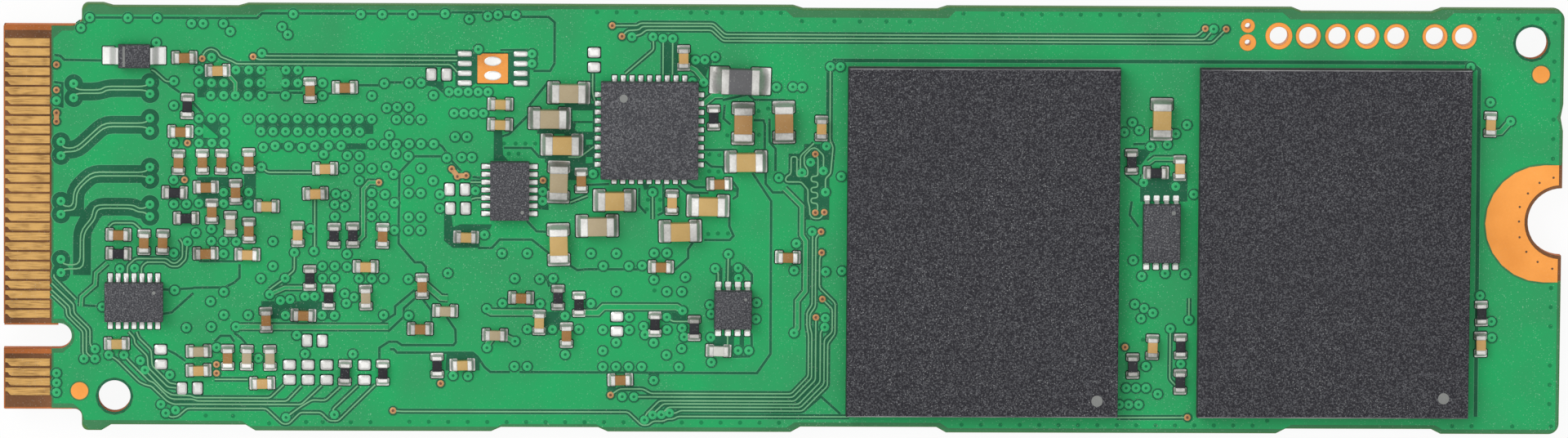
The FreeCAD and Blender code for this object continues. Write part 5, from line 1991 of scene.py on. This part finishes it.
@dataclass
class GullPackage(LeadlessPackage):
    """A package on bent leads that reach its pads."""

    node: str = "leads"
    mark_sides: int = 16
    pad_reach: float = 0.14
    pad_extra: float = 0.06
    stripe: tuple[float, float] | None = None
    thick: float = 0.1

    def block(self, span: np.ndarray) -> list[Surface]:
        """The body's block with its waist, and a pale stripe where it has one.

        Args:
            span: The body's size.

        Returns:
            Its parts, their foot at level 0.
        """
        profile = [(0.05, 0.04), (0.0, span[2] * 0.5), (0.035, span[2] - 0.04),
                   (0.05, span[2] - 0.012), (0.075, span[2])]
        parts = [moulding(span[0], span[1], profile, 0.06, 3)]
        if self.stripe is not None:
            start, width = self.stripe
            band = moulding(width, span[1] - 0.2,
                            [(0.0, span[2] - 0.02), (0.0, span[2] + 0.003)], 0.02, 1, 1)
            parts.append(band.moved(start - span[0] / 2))
        return parts

    def wing(self, reach: float, width: float, rise: float) -> Surface:
        """A lead bent like a gull's wing, its inner end at x = 0.

        Args:
            reach: How far it goes out.
            width: Its width.
            rise: How high it leaves the body.

        Returns:
            The lead: a band along an S curve z = rise times (1 - smoothstep).
        """
        s = np.linspace(0, 1, 9)
        wave = np.clip((s - 0.15) / 0.5, 0, 1)
        z = rise * (1 - wave * wave * (3 - 2 * wave))
        half = width / 2
        section = ((-half, 0.2), (0.02 - half, 1.0), (half - 0.02, 1.0), (half, 0.2),
                   (half - 0.02, 0.0), (0.02 - half, 0.0))
        rings = np.stack([np.column_stack([s * reach, np.full(9, side), z + self.thick * up])
                          for side, up in section], axis=1)
        return loft(rings[:, ::-1])

    def lead(self, reach: float, width: float, height: float) -> list[Surface]:
        """A bent lead that starts at x = 0, on its pad with the gap round it, darkened as painted
        shade.

        Args:
            reach: How far it goes out.
            width: Its width.
            height: Its height.

        Returns:
            Its parts, their foot at level 0.
        """
        length, breadth = reach * 0.75 + self.pad_reach, width + self.pad_extra
        centre = reach * 0.25 + length / 2
        return [self.wing(reach + 0.03, width, height - 0.16).moved(-0.03, 0.0, 0.035),
                tinned(length, breadth, 0.07, 0.04).moved(centre),
                gap_line(length + 0.1, breadth + 0.1, 0.06).moved(centre)]


# The studio

def blend_shaders(tree: Tree, share: Socket, first: Node, second: Node, output: str) -> None:
    """Mixes two shaders into an output node.

    Args:
        tree: Where the nodes are.
        share: How much of the second shader.
        first: The first shader.
        second: The second shader.
        output: Name of the output node.
    """
    mixer = tree.nodes.new("ShaderNodeMixShader")
    for number, source in enumerate((share, first.outputs[0], second.outputs[0])):
        tree.links.new(source, mixer.inputs[number])
    tree.links.new(mixer.outputs[0], tree.nodes[output].inputs["Surface"])


@dataclass
class Studio:
    """Camera, lamps, floor and surroundings."""

    camera_place: Spot = (-18.52, 71.52, 602.0)
    camera_turn: Spot = (-6.804, -1.719, 0.401)
    lens: float = 270.42
    surround: float = 0.42
    floor_half: float = 7.0
    own_light: float = 0.92
    lamps: tuple[tuple[str, Spot, tuple[float, float], float], ...] = (
        ("overhead_box", (0.05, -0.15, 1.1), (1.2, 0.9), 4.4),
        ("left_box", (-0.55, 0.45, 0.8), (0.7, 0.6), 5.2))

    def camera(self) -> None:
        """A long lens nearly overhead, where the photograph's perspective puts it."""
        data = bpy.data.cameras.new("camera")
        data.lens = self.lens
        data.sensor_width = 36.0
        data.clip_start, data.clip_end = 0.05, 30.0
        camera = bpy.data.objects.new("camera", data)
        camera.location = [c * MM for c in self.camera_place]
        camera.rotation_euler = [math.radians(a) for a in self.camera_turn]
        bpy.context.scene.collection.objects.link(camera)
        bpy.context.scene.camera = camera

    def lamp(self, name: str, place: Spot, size: tuple[float, float], power: float) -> None:
        """A soft box at a place in metres, turned to the middle of the card.

        Args:
            name: The lamp's name.
            place: Where it stands.
            size: Its width and height in metres.
            power: Its power in watts.
        """
        data = bpy.data.lights.new(name, "AREA")
        data.shape = "RECTANGLE"
        data.size, data.size_y = size
        data.energy = power
        lamp = bpy.data.objects.new(name, data)
        lamp.location = place
        lamp.rotation_mode = "QUATERNION"
        lamp.rotation_quaternion = (-Vector(place)).to_track_quat("-Z", "Y")
        bpy.context.scene.collection.objects.link(lamp)

    def backdrop(self, groups: EffectGroups) -> None:
        """A white floor that keeps the card's shadow and has no end in view.

        Args:
            groups: The shared effects.
        """
        half = self.floor_half
        mesh = bpy.data.meshes.new("floor")
        mesh.from_pydata([(-half, -half, 0), (half, -half, 0), (half, half, 0),
                          (-half, half, 0)], [], [(0, 1, 2, 3)])
        mesh.materials.append(self.floor_material(groups))
        floor = bpy.data.objects.new("floor", mesh)
        bpy.context.scene.collection.objects.link(floor)

    def floor_material(self, groups: EffectGroups) -> bpy.types.Material:
        """White, mostly by its own light where the camera or a reflection sees it.

        Args:
            groups: The shared effects.

        Returns:
            The material; the rest of its light comes from the lamps, with the shadow.
        """
        finish = Finish("studio_floor", "#fbfbfb", "#f8f8f8", gloss=0.1, roughness=0.9,
                        dust=0.0)
        material = finish.build(groups)
        tree = material.node_tree
        rays = tree.nodes.new("ShaderNodeLightPath").outputs
        seen = groups.combine(tree, "MAXIMUM", rays["Is Camera Ray"], rays["Is Glossy Ray"])
        seen = groups.combine(tree, "MAXIMUM", seen, rays["Is Transmission Ray"])
        share = groups.combine(tree, "MULTIPLY", seen, self.own_light)
        glow = tree.nodes.new("ShaderNodeEmission")
        glow.inputs["Strength"].default_value = 1.0
        blend_shaders(tree, share, tree.nodes["Principled BSDF"], glow, "Material Output")
        return material

    def surroundings(self) -> None:
        """Even grey light from all round; white where the camera looks past the floor."""
        world = bpy.data.worlds.new("surroundings")
        bpy.context.scene.world = world
        world.use_nodes = True
        tree = world.node_tree
        soft, white = tree.nodes["Background"], tree.nodes.new("ShaderNodeBackground")
        for node, strength in ((soft, self.surround), (white, 1.0)):
            node.inputs["Color"].default_value = (1.0, 1.0, 1.0, 1.0)
            node.inputs["Strength"].default_value = strength
        seen = tree.nodes.new("ShaderNodeLightPath").outputs["Is Camera Ray"]
        blend_shaders(tree, seen, soft, white, "World Output")

    def build(self, groups: EffectGroups) -> None:
        """Everything round the card.

        Args:
            groups: The shared effects.
        """
        self.camera()
        for lamp in self.lamps:
            self.lamp(*lamp)
        self.backdrop(groups)
        self.surroundings()
        bpy.context.scene.view_settings.view_transform = "Standard"


# The drive

@dataclass
class Drive:
    """The whole card with what stands on it, in the order in which it is built."""

    bench: Bench

    def card(self) -> None:
        """Board, mask, tracks, vias, contacts and holes."""
        bench = self.bench
        bench.dress("circuit_board", LAMINATE)
        bench.dress("front_solder_mask", BAND)
        bench.dress("back_solder_mask", BAND)
        for part in (CopperPour(), Tracks(), Vias(), EdgeContacts(), Holes(), Copper(),
                     PadShop()):
            part.build(bench)

    def packages(self) -> None:
        """Flash, controller, memory, regulator, logic, switches and diode."""
        for part in (BallPackage("front_inner_flash", Side.FRONT, mark=(16.1, -9.2, 0.29)),
                     BallPackage("front_outer_flash", Side.FRONT, mark=(33.94, -9.02, 0.29)),
                     BallPackage("back_inner_flash", Side.BACK),
                     BallPackage("back_outer_flash", Side.BACK),
                     BallPackage("controller", Side.BACK, 0.65, empty_middle=3.0),
                     BallPackage("memory", Side.BACK, 0.8),
                     LeadlessPackage("regulator", (-8.29, 6.3, 0.21)),
                     LeadlessPackage("left_logic", (-32.3, -3.8, 0.09)),
                     LeadlessPackage("centre_logic", (-13.45, 0.4, 0.09)),
                     GullPackage("near_switch", (-1.97, -4.06, 0.08)),
                     GullPackage("far_switch", (19.97, 0.49, 0.11)),
                     GullPackage("diode", pad_reach=0.1, pad_extra=0.04, stripe=(0.3, 0.12))):
            part.build(self.bench)

    def chips(self) -> None:
        """The small two-ended parts."""
        small = ("brown", "ochre", "tan", "grey")
        finishes = (BROWN, OCHRE, TAN, GREY)
        slots = tuple(f"{name}_ceramic" for name in small)
        for part in (
                ChipFamily(tuple(f"{name}_capacitors" for name in small) + ("white_chip",),
                           "small_capacitor_ends", finishes + (WHITE,),
                           slots + ("white_ceramic",), 1.0, 0.52, 0.5, 0.25, 1.31, 0.65),
                ChipFamily(("resistor_cores",), "resistor_ends", (GLASS,),
                           ("resistor_black",), 1.0, 0.52, 0.36, 0.23, 1.31, 0.65,
                           climb=0.85, shift=((-3.47, 5.25, -0.2, 0.0),
                                              (19.08, 2.63, 0.0, -0.15))),
                ChipFamily(("grey_large_capacitors", "tan_large_capacitors",
                            "brown_large_capacitors"), "large_capacitor_ends",
                           (GREY, TAN, LARGE_BROWN),
                           ("grey_ceramic", "tan_ceramic", "brown_ceramic"),
                           1.74, 0.95, 0.8, 0.4, 2.19, 1.14),
                ChipFamily(("bead_core",), "bead_ends", (FERRITE,), ("ferrite_grey",),
                           1.97, 1.3, 0.9, 0.42, 3.15, 1.4),
                ChipFamily(("back_capacitors",), "back_capacitor_ends", (BROWN,),
                           ("brown_ceramic",), 1.0, 0.52, 0.5, 0.25, 1.31, 0.65,
                           back=True)):
            part.build(self.bench)

    def build(self) -> None:
        """Everything."""
        self.card()
        self.packages()
        self.chips()


def main() -> None:
    """Builds the drive and the studio."""
    logging.basicConfig(level=logging.INFO, format="%(name)s %(message)s")
    groups = EffectGroups()
    groups.build()
    Drive(Bench(Cad(frame["nodes"]), groups)).build()
    Studio().build(groups)


if __name__ == "__main__":
    main()
